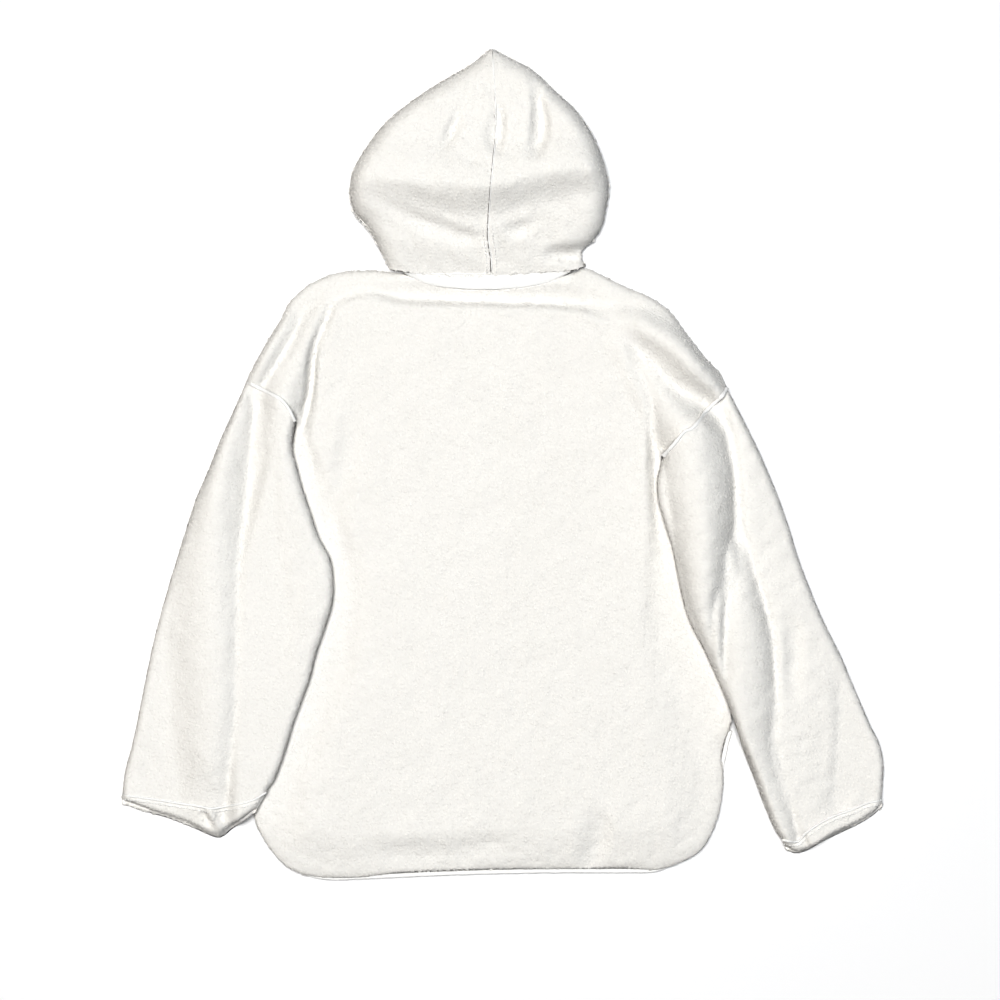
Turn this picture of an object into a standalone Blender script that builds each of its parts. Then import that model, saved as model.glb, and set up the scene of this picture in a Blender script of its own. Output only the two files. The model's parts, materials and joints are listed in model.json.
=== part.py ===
"""Hooded pullover of sherpa fleece, lying flat on its front with its back up.

Blender 4.5. Metres, +Z up from the surface that the pullover lies on, +Y towards the tip of
the hood and +X to the right as one looks down at it. Every table below is in millimetres and
is turned into metres only when a mesh is made.

The body is two panels that lie on each other, the sleeves are flattened tubes that are open at
both ends and lie partly on the body, and the hood is two panels over its own folded front.
"""
from collections import namedtuple

import bmesh
import bpy
import numpy as np

MM = 0.001

# ---------------------------------------------------------------- driving dimensions
FLEECE = 6.0             # one layer of fleece, pile included
GAP = 0.3                # air between pieces that lie on or against each other
SEAM_GAP = 0.4           # air between two pieces that meet at a curved armhole seam
BODY_FLAT = 2 * FLEECE + GAP        # height of the two body panels where nothing is folded
SLEEVE_FLAT = 15.0       # height of a flattened sleeve with its slit
SLIT = 2.5               # height of the slit inside a sleeve
ON_BODY = BODY_FLAT + 0.7           # underside of a sleeve where it lies on the body
STEP_START = 24.0        # a sleeve leaves the floor this far outside the body's edge ...
STEP_END = 12.0          # ... and is level with the top of the body from here inwards
UNDER_SLEEVE = 2.0       # the folds of the back end this far under the edge of a sleeve
UNDER_SLEEVE_FADE = 2.5  # and the width over which they fade there
PLATEAU = 6.0            # how far the middle of the back stands above its sides
RIM = 1.2                # height of the cut edge of a panel before it turns over
EDGE_ROLL = 14.0         # width over which a panel's outer edge turns down
SLEEVE_ROLL = 8.0        # the same for the long edges of a sleeve
UNDER_ROLL = 6.0         # and where its underside turns up
CUFF_ROLL = 6.0          # and for the open end of a cuff
SEAM_ROLL = 2.6          # the same where two pieces are sewn together
SEAM_SINK = 0.6          # and how far their edges sink there
HOOD_RIM = 7.4           # underside of the hood's outer edge, above its folded front
HOOD_ROLL = 20.0         # width over which the hood turns down to its rim
HOOD_NECK = 15.0         # height of the hood at its neck seam
HOOD_TIP = 25.0          # and at its tip
HOOD_CROWN = 38.5        # and of its crown, without its folds
BAND_TOP_HEIGHT = 14.0   # top of the taped neck seam
BINDING_WIDTH = 5.5
BINDING_HEIGHT = 6.0

# ---------------------------------------------------------------- outlines: x, y
SHOULDERS = [
    (-282, 92), (-274, 109), (-262, 131), (-246, 157), (-235, 178), (-219, 194), (-201, 205),
    (-179, 212), (-154, 214), (-130, 213), (-110, 210), (-61, 197), (-13, 195), (33, 199),
    (76, 211), (89, 217), (107, 210), (135, 196), (163, 184), (185, 167), (202, 144), (224, 116),
    (238, 102), (246, 85),
]
ARMHOLE_LEFT = [(-282, 92), (-264, 83), (-243, 72), (-233, 60), (-227, 47)]
ARMHOLE_RIGHT = [(246, 85), (238, 74), (222, 59), (207, 41), (197, 36), (187, 24), (174, 9)]
SIDE_LEFT = [
    (-227, 47), (-234, 17), (-244, -27), (-255, -71), (-265, -109), (-271, -192), (-274, -280),
    (-275, -346), (-273, -387), (-264, -408), (-252, -426), (-237, -441), (-219, -449),
]
SIDE_RIGHT = [
    (174, 9), (182, -16), (196, -49), (217, -82), (237, -109), (245, -170), (251, -236),
    (251, -280), (243, -304), (240, -321), (242, -340), (240, -368), (234, -392), (222, -417),
    (207, -430), (187, -439),
]
HEM = [
    (-219, -449), (-199, -452), (-169, -453), (-144, -451), (-113, -447), (-69, -445), (-3, -443),
    (63, -443), (129, -442), (167, -444), (187, -439),
]
FRONT_NECK = [
    (-130, 213.4), (-110, 210.7), (-61, 205.2), (-13, 206.3), (33, 208.5), (76, 211.8),
    (89, 216.7),
]
FRONT_VENT_LEFT = [
    (-274, -280), (-273, -335), (-266, -365), (-261, -386), (-253, -403), (-242, -419),
    (-229, -432), (-216, -443),
]
FRONT_VENT_RIGHT = [
    (251, -236), (250, -278), (242, -302), (237, -324), (234, -346), (230, -366), (226, -389),
    (215, -411), (200, -423), (182, -433),
]
FRONT_HEM = [
    (-216, -443), (-201, -448), (-184, -449), (-157, -448), (-113, -446), (-69, -444), (-3, -442),
    (63, -441), (129, -440), (162, -439), (182, -433),
]
BINDING = [
    (252, -292), (248, -307), (244, -326), (241, -346), (238, -367), (232, -391), (220, -415),
    (205, -428), (187, -439), (167, -447), (129, -448), (63, -448), (-3, -449), (-69, -451),
    (-113, -453), (-157, -455), (-184, -456), (-204, -454), (-220, -449), (-237, -439),
    (-250, -425), (-262, -405), (-268, -387), (-272, -368),
]
NECK_SEAM = [
    (-124, 214.5), (-110, 212.3), (-61, 206.8), (-13, 207.9), (33, 210.1), (76, 213.4),
    (90, 218.9),
]
BAND_HEAD = [
    (-109, 211.2), (-86, 207.4), (-61, 205.9), (-13, 207.0), (33, 209.2), (63, 211.4), (75, 212.5),
]
BAND_FOOT = [
    (-109, 210.4), (-86, 203.2), (-61, 198.3), (-13, 196.2), (33, 200.3), (63, 208.2), (75, 211.8),
]
HOOD_CENTRE = [
    (-12, 456), (-10, 424), (-8, 391), (-8, 358), (-10, 336), (-13, 303), (-15, 276), (-16, 248),
    (-13, 228), (-12, 208),
]
HOOD_LEFT = [
    (-15, 456), (-37, 439), (-61, 425), (-84, 411), (-108, 394), (-127, 378), (-143, 359),
    (-157, 338), (-165, 322), (-168, 305), (-167, 289), (-161, 274), (-150, 263), (-141, 249),
    (-133, 233), (-124, 215),
]
HOOD_RIGHT = [
    (-9, 456), (10, 446), (29, 436), (45, 423), (59, 409), (76, 394), (88, 379), (99, 361),
    (107, 343), (113, 324), (116, 303), (113, 282), (109, 263), (99, 247), (88, 237), (86, 228),
    (90, 219),
]
SLEEVE_LEFT_OUTER = [
    (-282, 92), (-292, 69), (-311, 27), (-323, -3), (-337, -36), (-346, -63), (-356, -95),
    (-366, -128), (-380, -178), (-389, -217), (-398, -262), (-407, -305), (-415, -335),
    (-418, -361),
]
SLEEVE_LEFT_INNER = [
    (-227, 47), (-230, 21), (-226, 2), (-219, -24), (-211, -48), (-201, -78), (-189, -101),
    (-185, -124), (-186, -150), (-194, -178), (-204, -207), (-211, -235), (-221, -262),
    (-229, -284), (-239, -317), (-249, -343), (-258, -357),
]
CUFF_LINE_LEFT = [
    (-418, -361), (-381, -366), (-356, -370), (-333, -373), (-316, -375), (-289, -370),
    (-272, -365), (-258, -357),
]
CUFF_END_LEFT = [
    (-418, -372), (-394, -380), (-369, -387), (-343, -397), (-327, -404), (-314, -409),
    (-306, -406), (-299, -400), (-286, -391), (-271, -380),
]
SLEEVE_RIGHT_OUTER = [
    (246, 85), (262, 54), (277, 24), (287, 2), (302, -34), (315, -71), (324, -101), (342, -148),
    (354, -175), (370, -207), (387, -247), (403, -284), (414, -307), (418, -329), (417, -351),
    (416, -367),
]
SLEEVE_RIGHT_INNER = [
    (174, 9), (168, -16), (169, -38), (173, -53), (179, -73), (185, -93), (195, -142), (204, -172),
    (217, -197), (228, -221), (238, -243), (248, -268), (255, -289), (262, -310), (275, -343),
    (287, -375), (299, -402), (305, -410),
]
CUFF_LINE_RIGHT = [
    (416, -367), (399, -370), (382, -377), (362, -384), (346, -392), (332, -402), (322, -412),
    (305, -410),
]
CUFF_END_RIGHT = [
    (416, -375), (407, -384), (389, -395), (370, -404), (350, -414), (334, -423), (321, -426),
    (311, -422),
]

# ---------------------------------------------------------------- folds
# One row for each point of a fold's line: x, y, height of the ridge (a trough is negative), the
# width of its slope on the left and on the right, as one walks down the table, and how each
# slope ends: 2 fades out softly, 1 runs out in a corner and less rolls over into a sharp crease.
Fold = namedtuple("Fold", "x y height left right left_end right_end", defaults=(2.0, 2.0))
# The trough that runs from the right shoulder into the sleeve
VALLEY_RIGHT = [
    Fold(128, 143, 0, 9, 10), Fold(151, 133, -3, 10, 14), Fold(173, 115, -6, 12, 20, 1.4),
    Fold(195, 91, -9, 14, 26, 1.2), Fold(215, 73, -10, 15, 28, 1.2), Fold(231, 57, -8, 13, 22, 1.4),
    Fold(241, 32, 0, 9, 12),
]
BACK_FOLDS = {
    "crease under the neck": [
        Fold(-150, 184, 0, 7, 6), Fold(-119, 182, -3, 8, 7, 1.4), Fold(-69, 180, -4, 8, 7, 1.4),
        Fold(-3, 178, -4, 8, 7, 1.4), Fold(50, 178, -4, 8, 7, 1.4), Fold(90, 173, -3, 9, 9),
        Fold(130, 163, -2, 10, 10), Fold(152, 156, 0, 8, 8),
    ],
    "shoulder ridge right": [
        Fold(79, 172, 0, 12, 10), Fold(113, 163, 5, 16, 16), Fold(145, 155, 10, 20, 22, 2, 1.3),
        Fold(176, 138, 15, 24, 28, 2, 1.3), Fold(200, 117, 18, 26, 31, 2, 1.3),
        Fold(217, 100, 17, 24, 28, 2, 1.3), Fold(236, 80, 11, 14, 18, 2, 1.2),
    ],
    "sleeve head right": [
        Fold(112, 148, 0, 13, 18), Fold(135, 126, 4, 22, 26, 1.4), Fold(158, 98, 8, 32, 34, 1.2),
        Fold(177, 72, 13, 42, 36, 1), Fold(192, 48, 20, 44, 38, 1), Fold(198, 38, 24, 42, 37, 1),
    ],
    "valley below the ridge": VALLEY_RIGHT,
    "shoulder lip left": [
        Fold(-232, 176, 0, 10, 10), Fold(-243, 156, 7, 14, 17, 1, 1.1), Fold(-257, 134, 9, 15, 19, 1, 1),
        Fold(-268, 112, 9, 14, 18, 1, 1), Fold(-278, 92, 5, 12, 14, 1, 1.2), Fold(-284, 80, 0, 9, 9),
    ],
    "sleeve head left": [
        Fold(-192, 180, 2, 10, 8, 1.2, 1.2), Fold(-206, 150, 7, 17, 11, 1, 1),
        Fold(-221, 118, 10, 20, 15, 1, 1), Fold(-236, 87, 12, 24, 26, 1, 1),
        Fold(-243, 70, 13, 20, 28, 1),
    ],
    "crease left": [
        Fold(-187, 176, 0, 5, 5), Fold(-191, 168, -3, 6, 6, 1.3, 1.3), Fold(-203, 140, -4, 6, 6, 1.3, 1.3),
        Fold(-209, 118, -5, 6, 6, 1.3, 1.3), Fold(-211, 86, -5, 6, 6, 1.3, 1.3),
        Fold(-216, 60, -5, 6, 6, 1.3, 1.3), Fold(-221, 40, -3, 6, 6), Fold(-225, 26, 0, 5, 5),
    ],
    "crease right": [
        Fold(140, 118, 0, 8, 8), Fold(152, 94, -2, 9, 10), Fold(161, 74, -2, 9, 10),
        Fold(165, 51, -2, 9, 10), Fold(167, 2, -2, 9, 10), Fold(171, -53, -2, 9, 10),
        Fold(177, -98, -2, 9, 10), Fold(180, -120, 0, 8, 8),
    ],
    "trough left": [
        Fold(-157, 72, 0, 18, 18), Fold(-168, 17, -3, 20, 20), Fold(-182, -43, -3, 20, 20),
        Fold(-180, -82, 0, 18, 18),
    ],
    "hem dent left": [
        Fold(-150, -421, 0, 15, 22), Fold(-108, -424, -4, 18, 26), Fold(-50, -424, -3, 18, 22),
        Fold(-14, -414, -4, 15, 20), Fold(10, -424, 0, 13, 15),
    ],
    "hem dent right": [
        Fold(104, -375, 0, 15, 20), Fold(107, -400, -5, 18, 26), Fold(98, -432, -4, 18, 24),
    ],
}
SLEEVE_LEFT_FOLDS = {
    "outer plane": [
        Fold(-283, 84, 2, 8, 9), Fold(-289, 62, 8, 13, 16, 1.2), Fold(-300, 28, 11, 17, 22, 1.2, 1.4),
        Fold(-311, -10, 13, 18, 25, 1.2, 1.4), Fold(-318, -43, 13, 20, 26, 1.4, 1.4),
        Fold(-326, -87, 11, 30, 34), Fold(-326, -131, 10, 44, 34), Fold(-320, -181, 10, 46, 30),
        Fold(-318, -236, 11, 40, 28), Fold(-319, -280, 11, 36, 26, 1.5, 1.4),
        Fold(-318, -325, 9, 36, 22), Fold(-316, -368, 5, 36, 18),
    ],
    "inner roll": [
        Fold(-243, 70, 13, 20, 28, 1), Fold(-240, 39, 14, 36, 45, 1.2), Fold(-238, -5, 14, 50, 60, 1.5),
        Fold(-232, -49, 15, 64, 70, 1.6), Fold(-222, -98, 15, 80, 80, 1.7),
        Fold(-214, -148, 15, 84, 85, 1.7), Fold(-219, -192, 14, 74, 80, 1.7),
        Fold(-236, -236, 13, 60, 70, 1.7), Fold(-250, -280, 12, 50, 60, 1.7),
        Fold(-263, -325, 11, 40, 50, 1.7), Fold(-274, -368, 9, 30, 42, 1.7),
    ],
}
SLEEVE_RIGHT_FOLDS = {
    "outer plane": [
        Fold(247, 72, 3, 24, 6), Fold(253, 50, 8, 34, 7), Fold(260, 28, 9, 42, 8),
        Fold(265, -16, 10, 50, 9), Fold(268, -60, 10, 58, 10), Fold(275, -88, 10, 64, 10),
        Fold(285, -120, 10, 70, 9), Fold(294, -148, 10, 75, 9), Fold(303, -192, 10, 84, 9),
        Fold(306, -236, 10, 91, 9), Fold(304, -280, 9, 95, 9), Fold(302, -310, 8, 95, 9),
        Fold(315, -357, 7, 88, 9), Fold(331, -400, 5, 77, 8),
    ],
    "inner roll": [
        Fold(200, 38, 24, 42, 37, 1, 1), Fold(206, 12, 27, 42, 43, 1, 1),
        Fold(211, -16, 29, 43, 45, 1, 1), Fold(215, -49, 30, 40, 43, 1, 1),
        Fold(217, -82, 30, 36, 39, 1, 1), Fold(218, -120, 29, 31, 32, 1, 1),
        Fold(218, -148, 26, 26, 26, 1, 1.2), Fold(223, -181, 20, 19, 20, 1, 1.5),
        Fold(230, -214, 11, 11, 14, 1, 2), Fold(238, -236, 0, 8, 10),
    ],
    "valley below the ridge": VALLEY_RIGHT,
    "lobe beside the valley": [
        Fold(257, -71, 0, 11, 8), Fold(259, -98, 6, 15, 15, 1.4), Fold(258, -126, 12, 20, 26, 1.2),
        Fold(258, -153, 17, 24, 34, 1.1, 0.9), Fold(260, -192, 20, 28, 39, 1, 0.9),
        Fold(260, -236, 20, 32, 41, 1, 0.9), Fold(261, -274, 19, 34, 40, 1, 0.9),
        Fold(268, -307, 17, 24, 32, 1, 0.9), Fold(280, -335, 14, 20, 26, 1, 0.9),
        Fold(294, -370, 11, 17, 22, 1, 0.9), Fold(306, -405, 7, 14, 18, 1, 0.9),
    ],
    "outer trough": [
        Fold(367, -219, 0, 15, 15), Fold(377, -269, -4, 18, 20), Fold(377, -318, -5, 20, 22),
        Fold(367, -370, -3, 18, 20),
    ],
    "upper trough": [
        Fold(315, -163, 0, 13, 13), Fold(319, -192, -4, 15, 15), Fold(318, -236, -3, 15, 15),
        Fold(316, -263, 0, 13, 13),
    ],
}
HOOD_FOLDS = {
    "roll across the crown": [
        Fold(-160, 308, 2, 30, 20), Fold(-143, 312, 4, 40, 30), Fold(-119, 313, 7, 46, 34),
        Fold(-67, 308, 9, 48, 36), Fold(-37, 305, 10, 48, 36), Fold(-9, 306, 10, 46, 35),
        Fold(22, 313, 9, 46, 34), Fold(45, 319, 9, 44, 34), Fold(74, 323, 8, 40, 34),
        Fold(107, 322, 3, 30, 22),
    ],
    "second trough left": [
        Fold(-129, 285, 0, 9, 9), Fold(-102, 272, -3, 9, 15), Fold(-69, 261, -4, 10, 18),
        Fold(-47, 252, -4, 10, 15), Fold(-25, 248, -2, 9, 11),
    ],
    "second trough right": [
        Fold(-1, 254, 0, 9, 9), Fold(19, 259, -4, 9, 13), Fold(43, 271, 0, 9, 9),
    ],
    "tuck at the neck": [
        Fold(44, 235, 0, 9, 7), Fold(58, 237, -7, 9, 11, 1.5), Fold(74, 236, -10, 9, 13, 1.3),
        Fold(93, 238, -9, 9, 13, 1.3),
    ],
    "pleat left": [
        Fold(-46, 392, 0, 9, 9), Fold(-53, 372, -4, 10, 9), Fold(-59, 356, -5, 10, 10),
        Fold(-66, 340, 0, 10, 10),
    ],
    "pleat beside the seam": [
        Fold(-4, 396, 0, 7, 9), Fold(-2, 380, -4, 8, 16), Fold(-4, 360, -6, 8, 22, 1.4),
        Fold(-5, 348, -4, 8, 18),
        Fold(-6, 336, 0, 7, 7),
    ],
    "pleat right": [
        Fold(35, 425, 0, 8, 9), Fold(41, 391, -7, 9, 12, 2, 1.3), Fold(42, 369, -9, 12, 13, 2, 1.2),
        Fold(38, 347, -7, 12, 13, 2, 1.3), Fold(32, 330, 0, 8, 12),
    ],
}
# The raised middle of the back: x, y and the width of its slope there
Ramp = namedtuple("Ramp", "x y width")
PLATEAU_EDGE = [
    Ramp(-184, 182, 9), Ramp(-191, 168, 8), Ramp(-207, 131, 8), Ramp(-209, 86, 9),
    Ramp(-213, 61, 11), Ramp(-219, 32, 13), Ramp(-210, -5, 18), Ramp(-196, -54, 24),
    Ramp(-177, -104, 26), Ramp(-172, -148, 29), Ramp(-184, -214, 33), Ramp(-210, -274, 37),
    Ramp(-233, -329, 40), Ramp(-251, -384, 44), Ramp(-240, -432, 46), Ramp(-168, -446, 48),
    Ramp(-3, -442, 48), Ramp(151, -442, 48), Ramp(204, -426, 46), Ramp(222, -378, 46),
    Ramp(219, -313, 48), Ramp(201, -252, 48), Ramp(180, -192, 42), Ramp(174, -123, 24),
    Ramp(170, -60, 16), Ramp(168, -5, 14), Ramp(166, 50, 13), Ramp(162, 78, 13),
    Ramp(150, 109, 18), Ramp(146, 145, 22), Ramp(120, 160, 16), Ramp(90, 174, 8),
    Ramp(63, 177, 6), Ramp(-3, 179, 5), Ramp(-69, 181, 5), Ramp(-113, 184, 6),
    Ramp(-145, 191, 8),
]
# Height of the hood's crown down its centre line: y, height
HOOD_PROFILE = [
    (208, HOOD_NECK), (224, 18.5), (240, 22), (262, 26.5), (287, 32), (303, HOOD_CROWN),
    (345, HOOD_CROWN), (400, 34), (456, HOOD_TIP),
]


# ---------------------------------------------------------------- curves and distances
def smooth(rows, steps=8):
    """A Catmull-Rom curve through the rows, as a dense line; further columns follow along."""
    p = np.array(rows, float)
    p = np.vstack([2 * p[0] - p[1], p, 2 * p[-1] - p[-2]])
    t = np.linspace(0, 1, steps, endpoint=False)[:, None]
    spans = [
        0.5 * (2 * b + (c - a) * t + (2 * a - 5 * b + 4 * c - d) * t**2
               + (3 * b - a - 3 * c + d) * t**3)
        for a, b, c, d in zip(p, p[1:], p[2:], p[3:])
    ]
    return np.vstack(spans + [p[-2:-1]])


def at(line, fractions):
    """Points of a line at these fractions of its length."""
    run = np.hypot(*np.diff(line[:, :2], axis=0).T)
    length = np.concatenate([[0], np.cumsum(run)])
    return np.stack([np.interp(np.array(fractions) * length[-1], length, c) for c in line.T], 1)


def offset(line, distance):
    """The line moved to its left."""
    step = np.gradient(line, axis=0)
    step /= np.hypot(*step.T)[:, None]
    return line + distance * np.stack([-step[:, 1], step[:, 0]], 1)


def nearest(points, line):
    """Distance to a line, its sign (+ on the left), and the place along it in rows."""
    a = line[:-1, :2]
    ab = line[1:, :2] - a
    w = points[..., None, :] - a
    u = np.clip((w * ab).sum(-1) / (ab * ab).sum(-1), 0, 1)
    d = np.hypot(*np.moveaxis(w - u[..., None] * ab, -1, 0))
    k = d.argmin(-1)[..., None]
    side = np.sign(ab[..., 0] * w[..., 1] - ab[..., 1] * w[..., 0])
    take = lambda values: np.take_along_axis(values, k, -1)[..., 0]
    return take(d), take(side), k[..., 0] + take(u)


def ease(u):
    """0 up to 0, 1 from 1, and a smooth step between."""
    u = np.clip(u, 0, 1)
    return u * u * (3 - 2 * u)


def crown(u):
    """A quarter round from 0 to 1."""
    return np.sqrt(1 - (1 - np.clip(u, 0, 1))**2)


def fold_height(points, rows):
    """Height that one fold adds at the points."""
    line = smooth(rows, 4)
    distance, side, along = nearest(points, line)
    at_foot = np.arange(len(line))
    height, left, right, left_end, right_end = (np.interp(along, at_foot, line[:, c])
                                                for c in range(2, 7))
    u = np.clip(distance / np.where(side > 0, left, right), 0, 1)
    return height * (1 - u * u)**np.where(side > 0, left_end, right_end)


def folds_height(points, folds):
    """Height that a set of folds adds at the points."""
    return sum(fold_height(points, rows) for rows in folds.values())


def inside(points, loop):
    """Which points lie inside a closed line."""
    x, y = points[..., 0, None], points[..., 1, None]
    ax, ay = loop[:, 0], loop[:, 1]
    bx, by = np.roll(ax, -1), np.roll(ay, -1)
    crosses = (ay > y) != (by > y)
    at_x = ax + (y - ay) * (bx - ax) / np.where(by == ay, 1, by - ay)
    return (crosses & (x < at_x)).sum(-1) % 2 == 1


# ---------------------------------------------------------------- grids
def spread(length, count, edge=(2.5, 8.0), far_edge=None):
    """Fractions across a length: a few fine steps at both ends, even steps between."""
    far_edge = edge if far_edge is None else far_edge
    near = [0.0] + [e / length for e in edge]
    far = [1 - e / length for e in reversed(far_edge)] + [1.0]
    even = np.linspace(near[-1], far[0], count - len(near) - len(far) + 2)[1:-1]
    return np.concatenate([near, even, far])


def patch(head, foot, left, right, across, down):
    """A grid of places between four lines: left and right are already sampled at `down`."""
    top, bottom = at(head, across), at(foot, across)
    s, t = across[None, :, None], np.array(down)[:, None, None]
    left = left + (1 - t[:, 0]) * (top[0] - left[0]) + t[:, 0] * (bottom[0] - left[-1])
    right = right + (1 - t[:, 0]) * (top[-1] - right[0]) + t[:, 0] * (bottom[-1] - right[-1])
    corners = ((1 - s) * (1 - t) * top[0] + s * (1 - t) * top[-1]
               + (1 - s) * t * bottom[0] + s * t * bottom[-1])
    return (1 - t) * top + t * bottom + (1 - s) * left[:, None] + s * right[:, None] - corners


def split_side(first, second, down, split):
    """Places down two joined lines whose joint lies at the fraction `split`."""
    down = np.array(down)
    upper = at(first, np.clip(down / split, 0, 1))
    lower = at(second, np.clip((down - split) / (1 - split), 0, 1))
    return np.where((down <= split)[:, None], upper, lower)


# ---------------------------------------------------------------- meshes
def material(name, colour, roughness):
    made = bpy.data.materials.new(name)
    made.use_nodes = True
    shader = made.node_tree.nodes["Principled BSDF"]
    shader.inputs["Base Color"].default_value = (*colour, 1)
    shader.inputs["Roughness"].default_value = roughness
    shader.inputs["Metallic"].default_value = 0
    made.diffuse_color = (*colour, 1)
    return made


def solid(name, points, faces, finish):
    """A closed mesh object from points in millimetres."""
    mesh = bpy.data.meshes.new(name)
    mesh.from_pydata([tuple(p * MM) for p in points], [], faces)
    work = bmesh.new()
    work.from_mesh(mesh)
    bmesh.ops.recalc_face_normals(work, faces=work.faces)
    work.to_mesh(mesh)
    work.free()
    mesh.materials.append(finish)
    mesh.shade_smooth()
    mesh.set_sharp_from_angle(angle=np.radians(50))
    made = bpy.data.objects.new(name, mesh)
    bpy.context.scene.collection.objects.link(made)
    return made


def sheet_faces(rows, columns, start=0):
    """Two triangles for each cell of a grid, whose points count from `start` row by row."""
    faces = []
    for r in range(rows - 1):
        for c in range(columns - 1):
            a = start + r * columns + c
            b = a + columns
            faces += [(a, b, b + 1), (a, b + 1, a + 1)]
    return faces


def border(rows, columns):
    """Grid indices round the edge of a grid, in order."""
    top = [(0, c) for c in range(columns)]
    right = [(r, columns - 1) for r in range(1, rows)]
    bottom = [(rows - 1, c) for c in range(columns - 2, -1, -1)]
    left = [(r, 0) for r in range(rows - 2, 0, -1)]
    return top + right + bottom + left


def layer(name, grid, top, under, finish):
    """A solid between two heights over one grid: a wall of cloth."""
    rows, columns = top.shape
    count = rows * columns
    points = np.concatenate([
        np.dstack([grid, top]).reshape(-1, 3),
        np.dstack([grid, under]).reshape(-1, 3),
    ])
    faces = sheet_faces(rows, columns)
    faces += [tuple(reversed(f)) for f in sheet_faces(rows, columns, count)]
    loop = [r * columns + c for r, c in border(rows, columns)]
    for a, b in zip(loop, loop[1:] + loop[:1]):
        faces += [(a, b, b + count), (a, b + count, a + count)]
    return solid(name, points, faces, finish)


def tube(name, grid, top, under, slit_top, slit_under, inset, finish):
    """A flattened tube: two layers joined down both long edges, with a slit between them.

    The slit runs from end to end and closes `inset` columns from each long edge.
    """
    rows, columns = top.shape
    points = []
    place = {}

    def put(key, r, c, z):
        place[key + (r, c)] = len(points)
        points.append((*grid[r, c], z))

    inner = range(inset, columns - inset)
    for r in range(rows):
        for c in range(columns):
            put(("top",), r, c, top[r, c])
            if 0 < c < columns - 1:
                put(("under",), r, c, under[r, c])
            else:
                place["under", r, c] = place["top", r, c]
        for c in inner:
            closed = c in (inner[0], inner[-1])
            middle = (slit_top[r, c] + slit_under[r, c]) / 2
            put(("slit top",), r, c, middle if closed else slit_top[r, c])
            if closed:
                place["slit under", r, c] = place["slit top", r, c]
            else:
                put(("slit under",), r, c, slit_under[r, c])

    faces = []
    for r in range(rows - 1):
        for skin, span in (("top", range(columns - 1)), ("under", range(columns - 1)),
                           ("slit top", inner[:-1]), ("slit under", inner[:-1])):
            for c in span:
                a, b = place[skin, r, c], place[skin, r + 1, c]
                d, e = place[skin, r, c + 1], place[skin, r + 1, c + 1]
                faces += [(a, b, e), (a, e, d)]
    for r in (0, rows - 1):
        for skin, lining in (("top", "slit top"), ("under", "slit under")):
            for c in inner[:-1]:
                a, b = place[skin, r, c], place[skin, r, c + 1]
                d, e = place[lining, r, c], place[lining, r, c + 1]
                faces += [(a, d, e), (a, e, b)]
        for edge, hinge in ((range(inset, 0, -1), inner[0]),
                            (range(columns - 1 - inset, columns - 1), inner[-1])):
            for c in edge:
                n = c - 1 if edge.step == -1 else c + 1
                for skin in ("top", "under"):
                    faces.append((place[skin, r, c], place[skin, r, n],
                                  place["slit top", r, hinge]))
    return solid(name, np.array(points), faces, finish)


# ---------------------------------------------------------------- the body
ARMHOLE_SHARE = 0.14     # the share of the body grid's rows that the armholes take
ARMHOLE_ROWS = 8


def body_rows(step):
    """Fractions down the body: even down the armhole, then finer at the hem only."""
    upper = np.linspace(0, ARMHOLE_SHARE, ARMHOLE_ROWS)
    lower = spread(530.0, step, edge=(14.0,), far_edge=(2.5, 8.0))
    return np.concatenate([upper, ARMHOLE_SHARE + (1 - ARMHOLE_SHARE) * lower[1:]])


def back_relief(points):
    """Height of the folds of the back above the flat cloth."""
    loop = smooth(PLATEAU_EDGE + PLATEAU_EDGE[:1], 3)
    distance, _, along = nearest(points, loop)
    width = np.interp(along, np.arange(len(loop)), loop[:, 2])
    raised = PLATEAU * ease(distance / width) * inside(points, loop[:-1])
    return np.maximum(raised + folds_height(points, BACK_FOLDS), 0) * clear_of_sleeves(points)


def clear_of_sleeves(points):
    """0 where a sleeve lies on the body, 1 elsewhere."""
    left = np.vstack([smooth(ARMHOLE_LEFT), smooth(SLEEVE_LEFT_INNER)[1:]])
    right = np.vstack([smooth(ARMHOLE_RIGHT), smooth(SLEEVE_RIGHT_INNER)[1:]])
    keep = np.ones(points.shape[:-1])
    for line, body_side in ((left, 1), (right, -1)):
        distance, side, _ = nearest(points, line)
        keep *= ease((distance * side * body_side + UNDER_SLEEVE) / UNDER_SLEEVE_FADE)
    return keep


def back_panel(finish):
    across = spread(560.0, 34)
    down = body_rows(31)
    left = split_side(smooth(ARMHOLE_LEFT), smooth(SIDE_LEFT), down, ARMHOLE_SHARE)
    right = split_side(smooth(ARMHOLE_RIGHT), smooth(SIDE_RIGHT), down, ARMHOLE_SHARE)
    shoulders = smooth(SHOULDERS)
    grid = patch(shoulders, smooth(HEM), left, right, across, down)
    relief = back_relief(grid)
    neck = (shoulders[:, 0] > -112) & (shoulders[:, 0] < 77)
    turned = [shoulders[shoulders[:, 0] < -110], shoulders[shoulders[:, 0] > 76],
              smooth(SIDE_LEFT), smooth(SIDE_RIGHT), smooth(HEM)]
    sewn = [smooth(ARMHOLE_LEFT), smooth(ARMHOLE_RIGHT), shoulders[neck]]
    to_edge = np.min([nearest(grid, line)[0] for line in turned], axis=0)
    to_seam = np.min([nearest(grid, line)[0] for line in sewn], axis=0)
    rim = FLEECE + GAP + RIM
    top = rim + (BODY_FLAT + relief - rim) * crown(to_edge / EDGE_ROLL)
    top -= SEAM_SINK * (1 - crown(to_seam / SEAM_ROLL))
    under = FLEECE + GAP + relief * ease((to_edge - 1) / 12)
    top = np.maximum(top, under + RIM)
    return layer("back_panel", grid, top, under, finish)


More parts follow.
